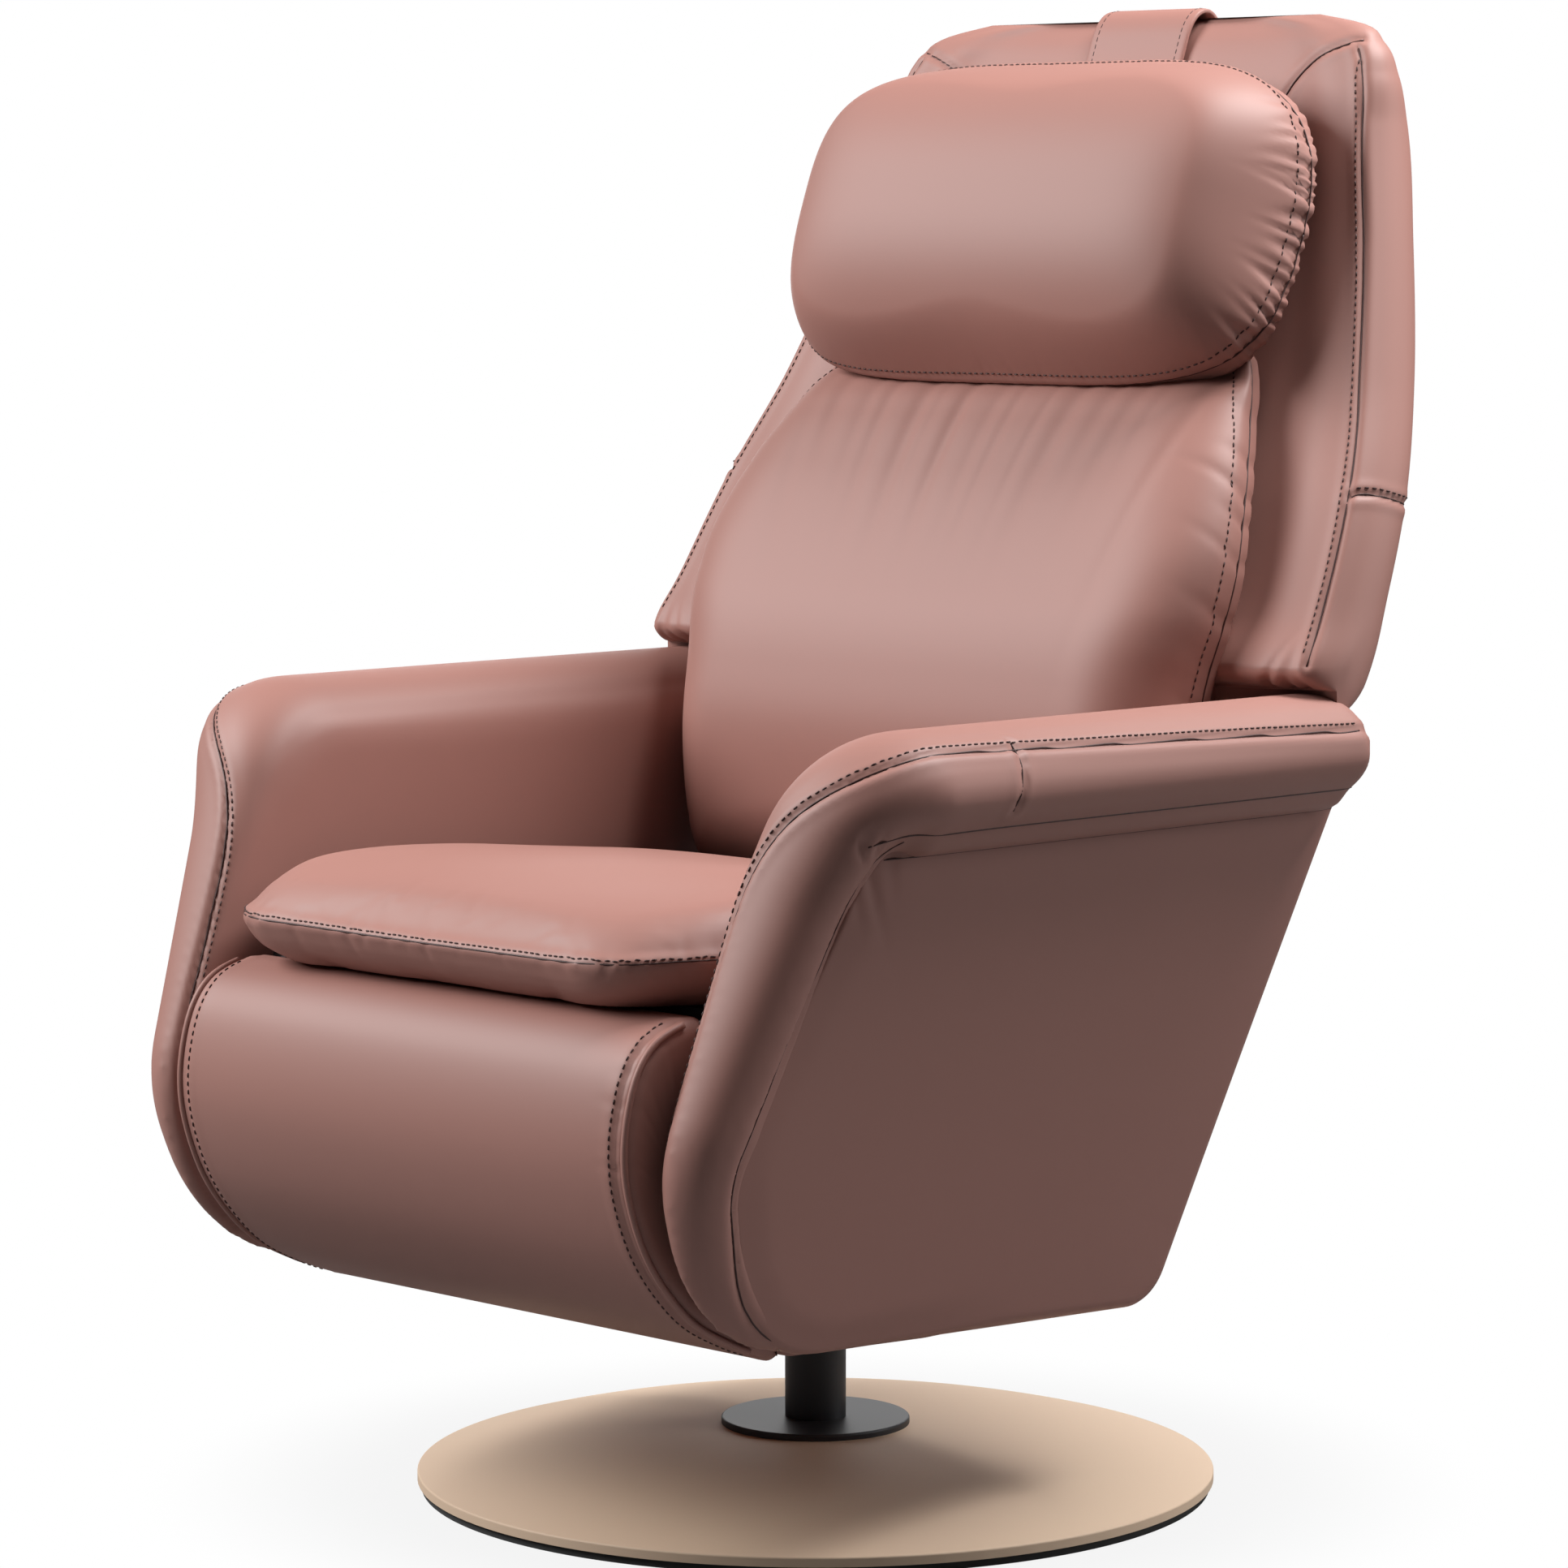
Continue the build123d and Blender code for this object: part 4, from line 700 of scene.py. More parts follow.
ARM_SECTION = (
    (0.0, -0.076), (0.0, -0.062), (0.0005, -0.048), (0.004, -0.032), (0.014, -0.017), (0.031, -0.006),
    (0.054, -0.0005), (0.079, -0.002), (0.099, -0.010), (0.1115, -0.023), (0.1165, -0.037), (0.1155, -0.049),
    (0.108, -0.060), (0.096, -0.070), (0.080, -0.084), (0.040, -0.086), (0.006, -0.085))
BAND_SECTION = (
    (0.0, -0.054), (0.0, -0.042), (0.0, -0.030), (0.0015, -0.016), (0.006, -0.006), (0.016, -0.0005),
    (0.36, 0.001), (0.60, -0.001), (0.80, -0.006), (0.92, -0.013), (0.99, -0.021), (1.015, -0.028),
    (1.005, -0.036), (0.93, -0.042), (0.80, -0.056), (0.45, -0.060), (0.006, -0.060))


# The arm's section turns into the band's from this depth on its top to this height on its front.
ARM_FRONT, BAND_TOP = -0.245, 0.490
# How far the leather stands over a side's faces, inside and outside.
INSIDE_SKIN, OUTSIDE_SKIN = 0.0005, 0.002


def arm_rings(count=300, around=84):
    """Cross-sections of the left arm and band along their line."""
    line = arm_line(count)
    s = lengths(line)
    out = -square_to(line)
    y, z = line.T
    start = s[np.argmin(np.abs(y - ARM_FRONT) + 10 * (z < 0.58))]
    end = s[np.argmin(np.abs(z - BAND_TOP) + 10 * (y > -0.2))]
    weight = ease(s, start, end)
    rings = []
    for i in range(count):
        inner = inner_x(z[i]) + INSIDE_SKIN
        outer = outer_x(z[i]) + OUTSIDE_SKIN
        arm = np.array(ARM_SECTION) + (INSIDE_AT_TOP, 0)
        arm[:, 0] = np.where(arm[:, 0] < 0.2725, arm[:, 0] - INSIDE_AT_TOP + inner, arm[:, 0])
        band = np.array(BAND_SECTION)
        wide = outer - inner
        narrow = band[:, 0] < 0.05
        band[:, 0] = np.where(narrow, inner + band[:, 0], inner + band[:, 0] * wide)
        section = arm * (1 - weight[i]) + band * weight[i]
        loop = smooth_path(section, around, closed=True)
        middle = (loop.min(0) + loop.max(0)) / 2
        shrink = max(edge_round(s[i], 0.020) * edge_round(s[-1] - s[i], 0.012), 0.05)
        loop = middle + (loop - middle) * shrink
        rings.append(np.column_stack([
            loop[:, 0], y[i] + out[i, 0] * loop[:, 1], z[i] + out[i, 1] * loop[:, 1]]))
    return np.array(rings)


UNDER_ARM_SEAM = (
    (0.354, -0.305, 0.530), (0.359, -0.27, 0.534), (0.3615, -0.2, 0.5375), (0.3615, 0.0, 0.5375),
    (0.3615, 0.188, 0.5375))
ARM_PLEAT_LINE = ((0.352, -0.322, 0.527), (0.350, -0.300, 0.531), (0.352, -0.26, 0.533))
ARM_SEAM = (
    (0.372, 0.192, 0.580), (0.374, 0.160, 0.582), (0.372, 0.05, 0.586), (0.369, -0.10, 0.590),
    (0.366, -0.20, 0.593), (0.361, -0.254, 0.590), (0.350, -0.290, 0.584), (0.330, -0.312, 0.573),
    (0.309, -0.324, 0.558), (0.290, -0.332, 0.540), (0.274, -0.342, 0.512), (0.265, -0.356, 0.475),
    (0.260, -0.376, 0.425), (0.257, -0.397, 0.365), (0.255, -0.403, 0.318), (0.253, -0.399, 0.277),
    (0.252, -0.380, 0.236), (0.252, -0.348, 0.203))
ROLL_CROSS_SEAM = (
    (0.360, -0.174, 0.596), (0.372, -0.175, 0.588), (0.378, -0.178, 0.575), (0.379, -0.181, 0.560),
    (0.374, -0.184, 0.549))


SIDE_REAR = ((0.081, 0.1595), (0.211, 0.541))


def panel_line(count):
    """Outline of the outside panel: tucked under the arm, sewn to the band, free below and behind."""
    corners = ((0.204, 0.556), (-0.262, 0.556), (-0.378, 0.320), (-0.339, 0.176)) + SIDE_REAR
    return rounded(corners, (0.006, 0.03, 0.105, 0.100, 0.034, 0.010), count)


def panel_seam():
    """Where the outside panel is sewn to the front band."""
    line = panel_line(600)
    front = line[(line[:, 0] < -0.10) & ((line[:, 0] < -0.255) | (line[:, 1] < 0.3))]
    front = front[np.argsort(np.arctan2(front[:, 1] - SIDE_MIDDLE[1], SIDE_MIDDLE[0] - front[:, 0]))]
    return np.column_stack([outer_x(front[:, 1]) + 1 * MM, front])


def inside_line(count):
    """Outline of the inside of a side, under the arm's and the band's leather at its edges."""
    corners = ((0.199, 0.580), (-0.295, 0.580), (-0.398, 0.316), (-0.358, 0.184)) + SIDE_REAR
    return rounded(corners, (0.006, 0.080, 0.105, 0.120, 0.034, 0.010), count)


# ------------------------------------------------------------------ the back's measures
SHELL_HALF = (
    (0.594, 0.351), (0.616, 0.353), (0.670, 0.348), (0.740, 0.337), (0.830, 0.310), (0.930, 0.282),
    (1.020, 0.258), (1.055, 0.250), (1.080, 0.236), (1.096, 0.210), (1.104, 0.165))
SHELL_FRONT = (
    (0.594, 0.150), (0.626, 0.161), (0.674, 0.188), (0.734, 0.220), (0.820, 0.265), (0.870, 0.285),
    (0.930, 0.306), (1.020, 0.331), (1.078, 0.350), (1.104, 0.366))
SHELL_REAR = (
    (0.594, 0.209), (0.640, 0.242), (0.680, 0.262), (0.740, 0.291), (0.830, 0.333), (0.930, 0.364),
    (1.020, 0.384), (1.055, 0.382), (1.085, 0.380), (1.104, 0.380))
CUSHION_SPINE = (
    (0.129, 0.437), (0.136, 0.500), (0.142, 0.560), (0.150, 0.629), (0.160, 0.662), (0.172, 0.700),
    (0.189, 0.735), (0.207, 0.768), (0.228, 0.802), (0.247, 0.836), (0.262, 0.868))
CUSHION_DEPTH = (
    (0.45, 0.050), (0.50, 0.066), (0.56, 0.075), (0.60, 0.071), (0.635, 0.065), (0.665, 0.058),
    (0.70, 0.051), (0.74, 0.045), (0.78, 0.039), (0.80, 0.034), (0.815, 0.026), (0.83, 0.012),
    (0.87, 0.006))
CUSHION_HALF = (
    (0.437, 0.226), (0.446, 0.243), (0.480, 0.2485), (0.560, 0.2525), (0.600, 0.256), (0.629, 0.262),
    (0.655, 0.267), (0.690, 0.268), (0.720, 0.262), (0.760, 0.249), (0.800, 0.231), (0.835, 0.216),
    (0.858, 0.190))


class RECLINER_OT_finishes(bpy.types.Operator):
    """Make every material and give the CAD pieces that stay in view theirs."""

    bl_idname = "recliner.finishes"
    bl_label = "Finishes"

    def execute(self, context):
        leather = context.scene.recliner_leather
        # Chestnut semi-aniline leather: soft broad highlights over a fine, nearly smooth grain.
        leather_material("leather", leather.colour, leather.deep_colour, roughness=0.29, grain=leather.grain)
        # Bonded polyester thread, a shade darker than the leather, with a dull silk shine.
        coated_material("thread", leather.thread_colour, roughness=0.55, speck=0.4 * MM)
        # Oak veneer in satin lacquer: pale, warm, with a quiet grain.
        wood_material("oak", "#dcc4a8", "#c2a27e", line_pitch=9 * MM, roughness=0.42)
        # Bare birch plywood inside the sides and back: pale yellow, dry and without shine.
        wood_material("plywood", "#d8bd92", "#b8966a", line_pitch=12 * MM, roughness=0.7)
        # Powder coat on steel: near black, satin, with a fine orange peel.
        coated_material("black_steel", "#17171a", roughness=0.38, speck=0.9 * MM)
        coated_material("frame_steel", "#26262a", roughness=0.5, speck=0.9 * MM)
        # Zinc-plated steel: bright and cool, with slightly blurred reflections.
        coated_material("bright_steel", "#b9bcc2", roughness=0.3, speck=0.6 * MM, metallic=1.0)
        # Sintered bearing bronze: brown gold with a dull shine.
        coated_material("bronze", "#a07c45", roughness=0.45, speck=0.5 * MM, metallic=1.0)
        # Cast iron ballast, as cast: dark grey and rough.
        coated_material("ballast", "#4a4a4c", roughness=0.8, speck=1.6 * MM)
        # Moulded rubber sole: matt black, almost without highlights.
        coated_material("sole", "#101010", roughness=0.75, speck=0.8 * MM)
        # Natural acetal, moulded: milky white with a low shine.
        coated_material("slide_plastic", "#d9d4c7", roughness=0.5, speck=0.5 * MM)
        # ABS moulded in a spark-eroded tool: black with a fine dull texture.
        coated_material("black_plastic", "#1b1b1d", roughness=0.55, speck=0.45 * MM)
        # Woven elastic webbing: dark crossed threads, 1.5 mm ones drawn 2 mm wide so that they show.
        woven_material("webbing", "#37332f", pitch=2.0 * MM)
        slots = {part["node"]: part["material_slot"] for part in frame["record"]["subparts"]}
        for node, obj in frame["nodes"].items():
            obj.data.materials.clear()
            obj.data.materials.append(bpy.data.materials[slots[node]])
        return {"FINISHED"}


class RECLINER_OT_arms(bpy.types.Operator):
    """The padded arms that roll over the outside and run down as front bands."""

    bl_idname = "recliner.arms"
    bl_label = "Arms and front bands"

    def execute(self, context):
        arm = fused("arm_leather_left", [skin("sweep", arm_rings()), self.inside()], 3.6 * MM, 6)
        tree = surface(arm)
        seam = softened(laid(tree, ARM_SEAM, 300), 9)
        cross = laid(tree, ROLL_CROSS_SEAM, 24)
        press_seam(arm, seam, depth=2.4 * MM)
        press_seam(arm, cross, depth=1.8 * MM)
        pleats = [(0.012, 0.004, 0.012, 0.0028, 0.3), (0.026, 0.003, 0.010, 0.0022, 0.0)]
        gather(arm, laid(tree, ARM_PLEAT_LINE, 30), pleats, reach=0.03)
        gather(arm, cross, fold_spots(0.06, pitch=0.014, width=0.003, length=0.012, depth=0.9 * MM, seed=5),
               reach=0.03)
        row = softened(beside(tree, seam, -5.5 * MM), 9)[4:-4]
        press_seam(arm, panel_seam(), width=3.0 * MM, depth=2.6 * MM, puff_up=0.15)
        seams = (("top", softened(seam, 9)[3:-3]), ("cross", cross),
                 ("under", smooth_path(UNDER_ARM_SEAM, 120)), ("panel", panel_seam()[4:-4]))
        for side, sign in SIDES:
            piece = arm if side == "left" else mirror_copy(arm, "arm_leather_right")
            finish_piece(piece, "seat")
            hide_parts(f"armrest_{side}", f"front_band_{side}", f"side_liner_{side}")
            sew(f"arm_stitches_{side}", piece, row * (sign, 1, 1), "seat")
            for part, path in seams:
                seam_line(f"arm_{part}_seam_{side}", piece, path * (sign, 1, 1), "seat")
        return {"FINISHED"}

    def inside(self):
        """The inside of a side, flush with the arm's and the band's inner faces."""
        outline = inside_line(420)

        def place(u, v, h):
            return np.column_stack([inner_x(v) + SIDE_PADDING - h, u, v])

        def near(u, v, d):
            return SIDE_PADDING * edge_round(d, 0.030)

        return puff("inside", outline, place, near, near, rings=24, centre=SIDE_MIDDLE)


class RECLINER_OT_sides(bpy.types.Operator):
    """The leather that wraps each side's board, inside and out."""

    bl_idname = "recliner.sides"
    bl_label = "Side panels"

    def execute(self, context):
        outline = panel_line(460)

        def place(u, v, h):
            return np.column_stack([outer_x(v) - SIDE_PADDING + h, u, v])

        def outside(u, v, d):
            # The edge is free below and behind; elsewhere it is sewn down and sinks to the seam.
            free = np.maximum(ease(u, -0.20, -0.05) * ease(-v, -0.30, -0.20), ease(u, 0.03, 0.09))
            turn = 5 * MM + 5 * MM * free
            sunk = 2.6 * MM * (1 - free) * (1 - ease(d, 0, 0.035))
            return SIDE_PADDING * edge_round(d, turn, 2.2) + 1.4 * MM * edge_round(d, 0.12) - sunk

        def inside(u, v, d):
            return (outer_x(v) - inner_x(v) - 0.027) * edge_round(d, 8 * MM, 2.4)

        panel = puff("side_leather_left", outline, place, outside, inside, rings=46, centre=SIDE_MIDDLE)
        tuck = np.column_stack([outer_x(np.full(60, 0.524)), np.linspace(-0.30, 0.19, 60),
                                np.linspace(0.515, 0.536, 60)])
        creases = [(0.006, 0.004, 0.030, 0.0022, 0.25), (0.020, 0.005, 0.045, 0.0018, 0.35),
                   (0.041, 0.006, 0.026, 0.0012, 0.1), (0.47, 0.006, 0.02, 0.001, 0.0)]
        gather(panel, tuck, creases)
        under = np.column_stack([np.full(80, 0.3365), np.linspace(-0.285, 0.200, 80), np.full(80, 0.5195)])
        for side, sign in SIDES:
            piece = panel if side == "left" else mirror_copy(panel, "side_leather_right")
            finish_piece(piece, "seat")
            seam_line(f"side_under_seam_{side}", piece, under * (sign, 1, 1), "seat")
            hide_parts(f"side_panel_{side}")
        return {"FINISHED"}


# The line that the belly cover and the rear panel follow, in the side view.
COVER_CORNERS = ((-0.271, 0.173), (-0.130, 0.166), (0.064, 0.166), (0.150, 0.414))
COVER_HALF = 0.243
COLUMN_HOLE = 0.031


class RECLINER_OT_covers(bpy.types.Operator):
    """The padded cover under the seat and the rear panel above it."""

    bl_idname = "recliner.covers"
    bl_label = "Belly cover and rear panel"

    def execute(self, context):
        line = rounded(COVER_CORNERS, (0, 0.03, 0.03, 0), 220, closed=False)
        s = lengths(line)
        place = off_line(line, -square_to(line))
        split = s[np.argmax((line[:, 1] > 0.207) & (line[:, 0] > 0))]

        def thick(u, v, d):
            return 4.6 * MM * edge_round(d, 8 * MM)

        for name, node, start, end in (
                ("belly_leather", "belly_cover", 0.001, split - 0.001),
                ("rear_panel_leather", "rear_panel", split + 0.001, s[-1])):
            corners = ((-COVER_HALF, start), (COVER_HALF, start), (COVER_HALF, end), (-COVER_HALF, end))
            edge = rounded(corners, (0.006,) * 4, 400)
            if node == "belly_cover":
                panel = self.holed(name, edge, place, thick, np.interp(0.0, line[:, 0], s))
            else:
                panel = puff(name, edge, place, thick, thick, rings=36)
            finish_piece(panel, "seat")
            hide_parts(node)
        return {"FINISHED"}

    def holed(self, name, edge, place, thick, hole_s):
        """The belly cover: one closed sheet round the column's hole."""
        centre = np.array((0.0, hole_s))
        away = edge - centre
        size = np.linalg.norm(away, axis=1)
        inner = centre + away / size[:, None] * COLUMN_HOLE
        loops = []
        t = np.concatenate([[0, 0.008, 0.02, 0.035], np.linspace(0.06, 0.94, 30), [0.965, 0.98, 0.992, 1]])
        for side, order in ((-1, t[::-1]), (1, t[1:-1])):
            for value in order:
                flat = edge + (inner - edge) * value
                d = np.minimum(value, 1 - value) * (size - COLUMN_HOLE)
                loops.append(place(flat[:, 0], flat[:, 1], side * thick(flat[:, 0], flat[:, 1], d)))
        loops = np.array(loops)
        count, around = loops.shape[:2]
        r, p = np.meshgrid(np.arange(count), np.arange(around), indexing="ij")
        q, n = (p + 1) % around, (r + 1) % count
        quads = np.stack([r * around + p, r * around + q, n * around + q, n * around + p], -1)
        return new_mesh(name, loops.reshape(-1, 3), quads.reshape(-1, 4).tolist())


# The leg rest's section: its curved face from the top down, then its flat back up again.
LEGREST_FACE = (
    (-0.344, 0.4112), (-0.364, 0.4095), (-0.389, 0.3995), (-0.406, 0.380), (-0.416, 0.350),
    (-0.4185, 0.318), (-0.412, 0.286), (-0.398, 0.253), (-0.377, 0.224), (-0.350, 0.199), (-0.314, 0.180),
    (-0.276, 0.165))
LEGREST_BACK = (
    (-0.276, 0.165), (-0.276, 0.178), (-0.341, 0.227), (-0.352, 0.230), (-0.352, 0.4045), (-0.344, 0.4070),
    (-0.344, 0.4112))


class RECLINER_OT_legrest(bpy.types.Operator):
    """The front panel that swings out as the leg rest."""

    bl_idname = "recliner.legrest"
    bl_label = "Leg rest"

    def execute(self, context):
        face = smooth_path(LEGREST_FACE, 120)
        back = even(np.array(LEGREST_BACK), 60)
        loop = np.vstack([face, back[1:-1]])
        out = np.vstack([-square_to(face), np.zeros((len(back) - 2, 2))])
        # The crown fades out over the last points of the face and leaves the back flat.
        order, fade = np.arange(len(loop)), 12
        ends = np.clip(np.minimum(order, len(face) - 1 - order) / fade, 0, 1)
        half, turn = 0.2385, 0.013
        angles = np.linspace(0, math.pi / 2, 9)
        right = half - turn + turn * np.sin(angles)
        sink = turn * (1 - np.cos(angles))
        flat_part = np.linspace(-half + turn, half - turn, 100)[1:-1]
        xs = np.concatenate([-right[::-1], flat_part, right])
        sinks = np.concatenate([sink[::-1], np.zeros(len(flat_part)), sink])
        rings = []
        for x, inset in zip(xs, sinks):
            crown = 2.5 * MM * (1 - (x / half) ** 4) * ends
            flat = loop + out * (crown * (1 if inset == 0 else 0.2) - inset)[:, None]
            rings.append(np.column_stack([np.full(len(loop), x), flat]))
        pad = skin("legrest_leather", rings)
        tree = surface(pad)
        for _, sign in SIDES:
            edge = np.column_stack([np.full(len(face), sign * (half - 10 * MM)), face])[6:-4]
            press_seam(pad, on_surface(tree, edge)[0], depth=1.6 * MM)
        tree = surface(pad)
        gather(pad, on_surface(tree, np.column_stack([np.full(40, 0.231), face[10:50]]))[0],
               fold_spots(0.13, pitch=0.016, width=0.004, length=0.016, depth=0.8 * MM, seed=3))
        finish_piece(pad, "legrest")
        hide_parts("legrest_pad")
        tree = surface(pad)
        for side, sign in SIDES:
            row = np.column_stack([np.full(len(face), sign * (half - 15 * MM)), face])[8:-6]
            sew(f"legrest_stitches_{side}", pad, row, "legrest", tree)
            edge = np.column_stack([np.full(len(face), sign * (half - 2.5 * MM)),
                                    face + out[:len(face)] * -2.0 * MM])
            piping(f"legrest_piping_{side}", edge[6:-9], 2.4 * MM, "legrest")
        return {"FINISHED"}


SEAT_CORNERS = (
    (-0.247, 0.083), (-0.247, -0.330), (-0.200, -0.401), (0.200, -0.401), (0.247, -0.330), (0.247, 0.083))
SEAT_SEAM = (
    (-0.41, 0.4485), (-0.30, 0.4510), (-0.20, 0.4470), (-0.10, 0.4380), (0.0, 0.4280), (0.09, 0.4230))
# The room that the cushion keeps to: over the seat's frame and between the arms.
SEAT_LOWEST, SEAT_HALF = 0.4143, 0.2505


class RECLINER_OT_seat(bpy.types.Operator):
    """The crowned seat cushion, sewn round its edge."""

    bl_idname = "recliner.seat"
    bl_label = "Seat cushion"

    def execute(self, context):
        crown = context.scene.recliner_shape.seat_crown
        outline = rounded(SEAT_CORNERS, (0.03, 0.07, 0.06, 0.06, 0.07, 0.03), 400)

        def place(u, v, h):
            return np.column_stack([u, v, table(v, SEAT_SEAM) + h])

        def top(u, v, d):
            # A full rim round the edge, and a crown over it that falls away to the rear.
            ahead = edge_round(v + 0.402, 0.16) * edge_round(d, 0.05)
            rim = 0.60 * crown * ahead * edge_round(d, 0.030)
            middle = 0.40 * crown * edge_round(0.250 - np.abs(u), 0.20) * edge_round(v + 0.402, 0.24)
            rear = 1 - 0.35 * ease(v, -0.05, 0.09)
            slack = 1.2 * MM * np.sin(u * 31 + 0.6) * np.sin(v * 23 + 1.0) * ease(d, 0.03, 0.10)
            return (rim + middle * ease(d, 0, 0.04)) * rear * edge_round(d, 0.02) + slack

        def bottom(u, v, d):
            deep = 0.021 + 0.35 * d
            return np.minimum(table(v, SEAT_SEAM) - 0.4145, deep) * edge_round(d, 0.020, 1.9)

        cushion = puff("seat_cushion_leather", outline, place, top, bottom, rings=52, centre=(0.0, -0.15))
        seam = seam_of(outline, place)
        stuff(cushion, 4 * MM)
        points = coords(cushion)
        points[:, 2] = np.maximum(points[:, 2], SEAT_LOWEST)
        points[:, 0] = np.clip(points[:, 0], -SEAT_HALF, SEAT_HALF)
        move_points(cushion, points)
        press_seam(cushion, seam, depth=2.2 * MM)
        puckers = fold_spots(1.8, pitch=0.030, width=0.0045, length=0.020, depth=1.0 * MM, seed=11)
        gather(cushion, seam, puckers, reach=0.05)
        finish_piece(cushion, "seat")
        seam_line("seat_seam", cushion, seam, "seat")
        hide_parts("seat_cushion")
        # The stitch row runs round the front, from one arm to the other.
        loop = np.roll(seam[:-1], -np.argmax(seam[:-1, 1]), axis=0)
        sew("seat_stitches", cushion, loop[loop[:, 1] < -0.10] + (0, 0, 5 * MM), "seat")
        return {"FINISHED"}


class RECLINER_OT_back_cushion(bpy.types.Operator):
    """The lumbar cushion on the front of the shell."""

    bl_idname = "recliner.back_cushion"
    bl_label = "Back cushion"

    def execute(self, context):
        shape = context.scene.recliner_shape
        spine = softened(smooth_path(CUSHION_SPINE, 200), 24)
        s = lengths(spine)
        place = off_line(spine, softened(square_to(spine), 36))
        half = np.array(CUSHION_HALF)
        right = np.column_stack([half[:, 1], np.interp(half[:, 0], spine[:, 1], s)])
        left = right[::-1] * (-1, 1)
        top = np.array(((0.1, s[-1] - 0.002), (-0.1, s[-1] - 0.002)))
        bottom = np.array(((-0.15, -0.001), (0.15, -0.001)))
        outline = smooth_path(np.vstack([right, top, left, bottom]), 420, closed=True)

        def front(u, v, d):
            return table(np.interp(v, s, spine[:, 1]), CUSHION_DEPTH) * edge_round(d, 0.075, 2.3)

        def behind(u, v, d):
            return 0.016 * edge_round(d, 0.014)

        cushion = puff("back_cushion_leather", outline, place, front, behind, rings=56,
                       centre=(0.0, np.interp(0.65, spine[:, 1], s)))
        seam = seam_of(outline, place)
        # Slack folds that hang below the head pillow.
        points = coords(cushion)
        rng = np.random.default_rng(7)
        spots = [(x + rng.uniform(-0.006, 0.006), rng.uniform(0.0045, 0.0105), rng.uniform(0.04, 0.13),
                  rng.uniform(0.0008, 0.0030), tilt)
                 for x, tilt in zip(np.linspace(-0.19, 0.20, 15), np.linspace(0.22, -0.16, 15))]
        facing = points[:, 1] < np.interp(points[:, 2], spine[:, 1], spine[:, 0]) - 0.01
        d = np.maximum(0.815 - points[:, 2], 0)
        points[:, 1] += np.where(facing, folds(points[:, 0], d, spots), 0)
        move_points(cushion, points)
        press_seam(cushion, seam, depth=2.2 * MM)
        gather(cushion, seam, fold_spots(2.4, pitch=0.034, width=0.005, length=0.034,
                                         depth=shape.pucker * 0.7, seed=21, slant=0.5))
        finish_piece(cushion, "back")
        seam_line("back_cushion_seam", cushion, seam, "back")
        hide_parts("back_cushion")
        tree = surface(cushion)
        for side, sign in SIDES:
            row = [(sign * (w - 0.009), np.interp(z, spine[:, 1], spine[:, 0]) - 0.014, z)
                   for z, w in CUSHION_HALF[4:]]
            sew(f"back_cushion_stitches_{side}", cushion, smooth_path(row, 80), "back", tree)
        return {"FINISHED"}


class RECLINER_OT_pillow(bpy.types.Operator):
    """The head pillow with gathered side seams."""

    bl_idname = "recliner.pillow"
    bl_label = "Head pillow"

    def execute(self, context):
        shape = context.scene.recliner_shape
        lean = math.radians(20)
        up = np.array((0, math.sin(lean), math.cos(lean)))
        fore = np.array((0, -math.cos(lean), math.sin(lean)))
        middle = np.array((0, 0.264, 0.939))
        wide, tall = 0.2425, 0.1315
        angles = np.linspace(0, 2 * math.pi, 480, endpoint=False)
        # The outline is an ellipse squared off at its corners, and narrower towards its top.
        power = 2 / 4.2
        outline = np.column_stack([
            wide * np.sign(np.cos(angles)) * np.abs(np.cos(angles)) ** power,
            tall * np.sign(np.sin(angles)) * np.abs(np.sin(angles)) ** power])
        outline[:, 0] *= 1 - 0.10 * np.clip(outline[:, 1] / tall, 0, 1) ** 2.5
        outline = even(np.vstack([outline, outline[:1]]), 480, closed=True)

        def seam_lift(v):
            return 0.024 * (v / tall) ** 2 - 0.008

        def place(u, v, h):
            return middle + np.outer(u, (1, 0, 0)) + np.outer(v, up) + np.outer(h + seam_lift(v), fore)

        def front(u, v, d):
            roll = (1 - np.clip(np.abs(v) / (tall * 1.02), 0, 1) ** 2.5) ** 0.5
            sides = (1 - np.clip(np.abs(u) / (wide * 1.01), 0, 1) ** 6.5) ** 0.5
            return (shape.pillow_crown - seam_lift(v)) * roll * sides * edge_round(d, 0.05, 2.0)

        def back(u, v, d):
            return (0.021 + seam_lift(v)) * edge_round(d, 0.030, 2.2)

        pillow = puff("head_pillow_leather", outline, place, front, back, rings=54, centre=(0.0, 0.0))
        seam = seam_of(outline, place)
        s = lengths(seam)
        press_seam(pillow, seam, depth=2.4 * MM)
        # Gathers all round the seam, deep at the two sides and faint above and below.
        rng = np.random.default_rng(13)
        spots = []
        place_s = 0.0
        while place_s < s[-1]:
            place_s += 0.0100 * rng.uniform(0.6, 1.4)
            side = ease(abs(np.interp(place_s, s, seam[:, 0])), 0.200, 0.235)
            depth = shape.pucker * (0.12 + 1.5 * side) * rng.uniform(0.35, 1.25)
            spots.append((place_s, 0.0031 * rng.uniform(0.8, 1.4), 0.026 * rng.uniform(0.5, 1.3), depth,
                          rng.uniform(-0.25, 0.25)))
        gather(pillow, seam, spots)
        finish_piece(pillow, "head_pillow")
        seam_line("pillow_seam", pillow, seam, "head_pillow")
        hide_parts("headrest_pillow")
        inset = outline * (1 - 6 * MM / np.linalg.norm(outline, axis=1, keepdims=True))
        sew("pillow_stitches", pillow, seam_of(inset, place, 0.014), "head_pillow")
        return {"FINISHED"}


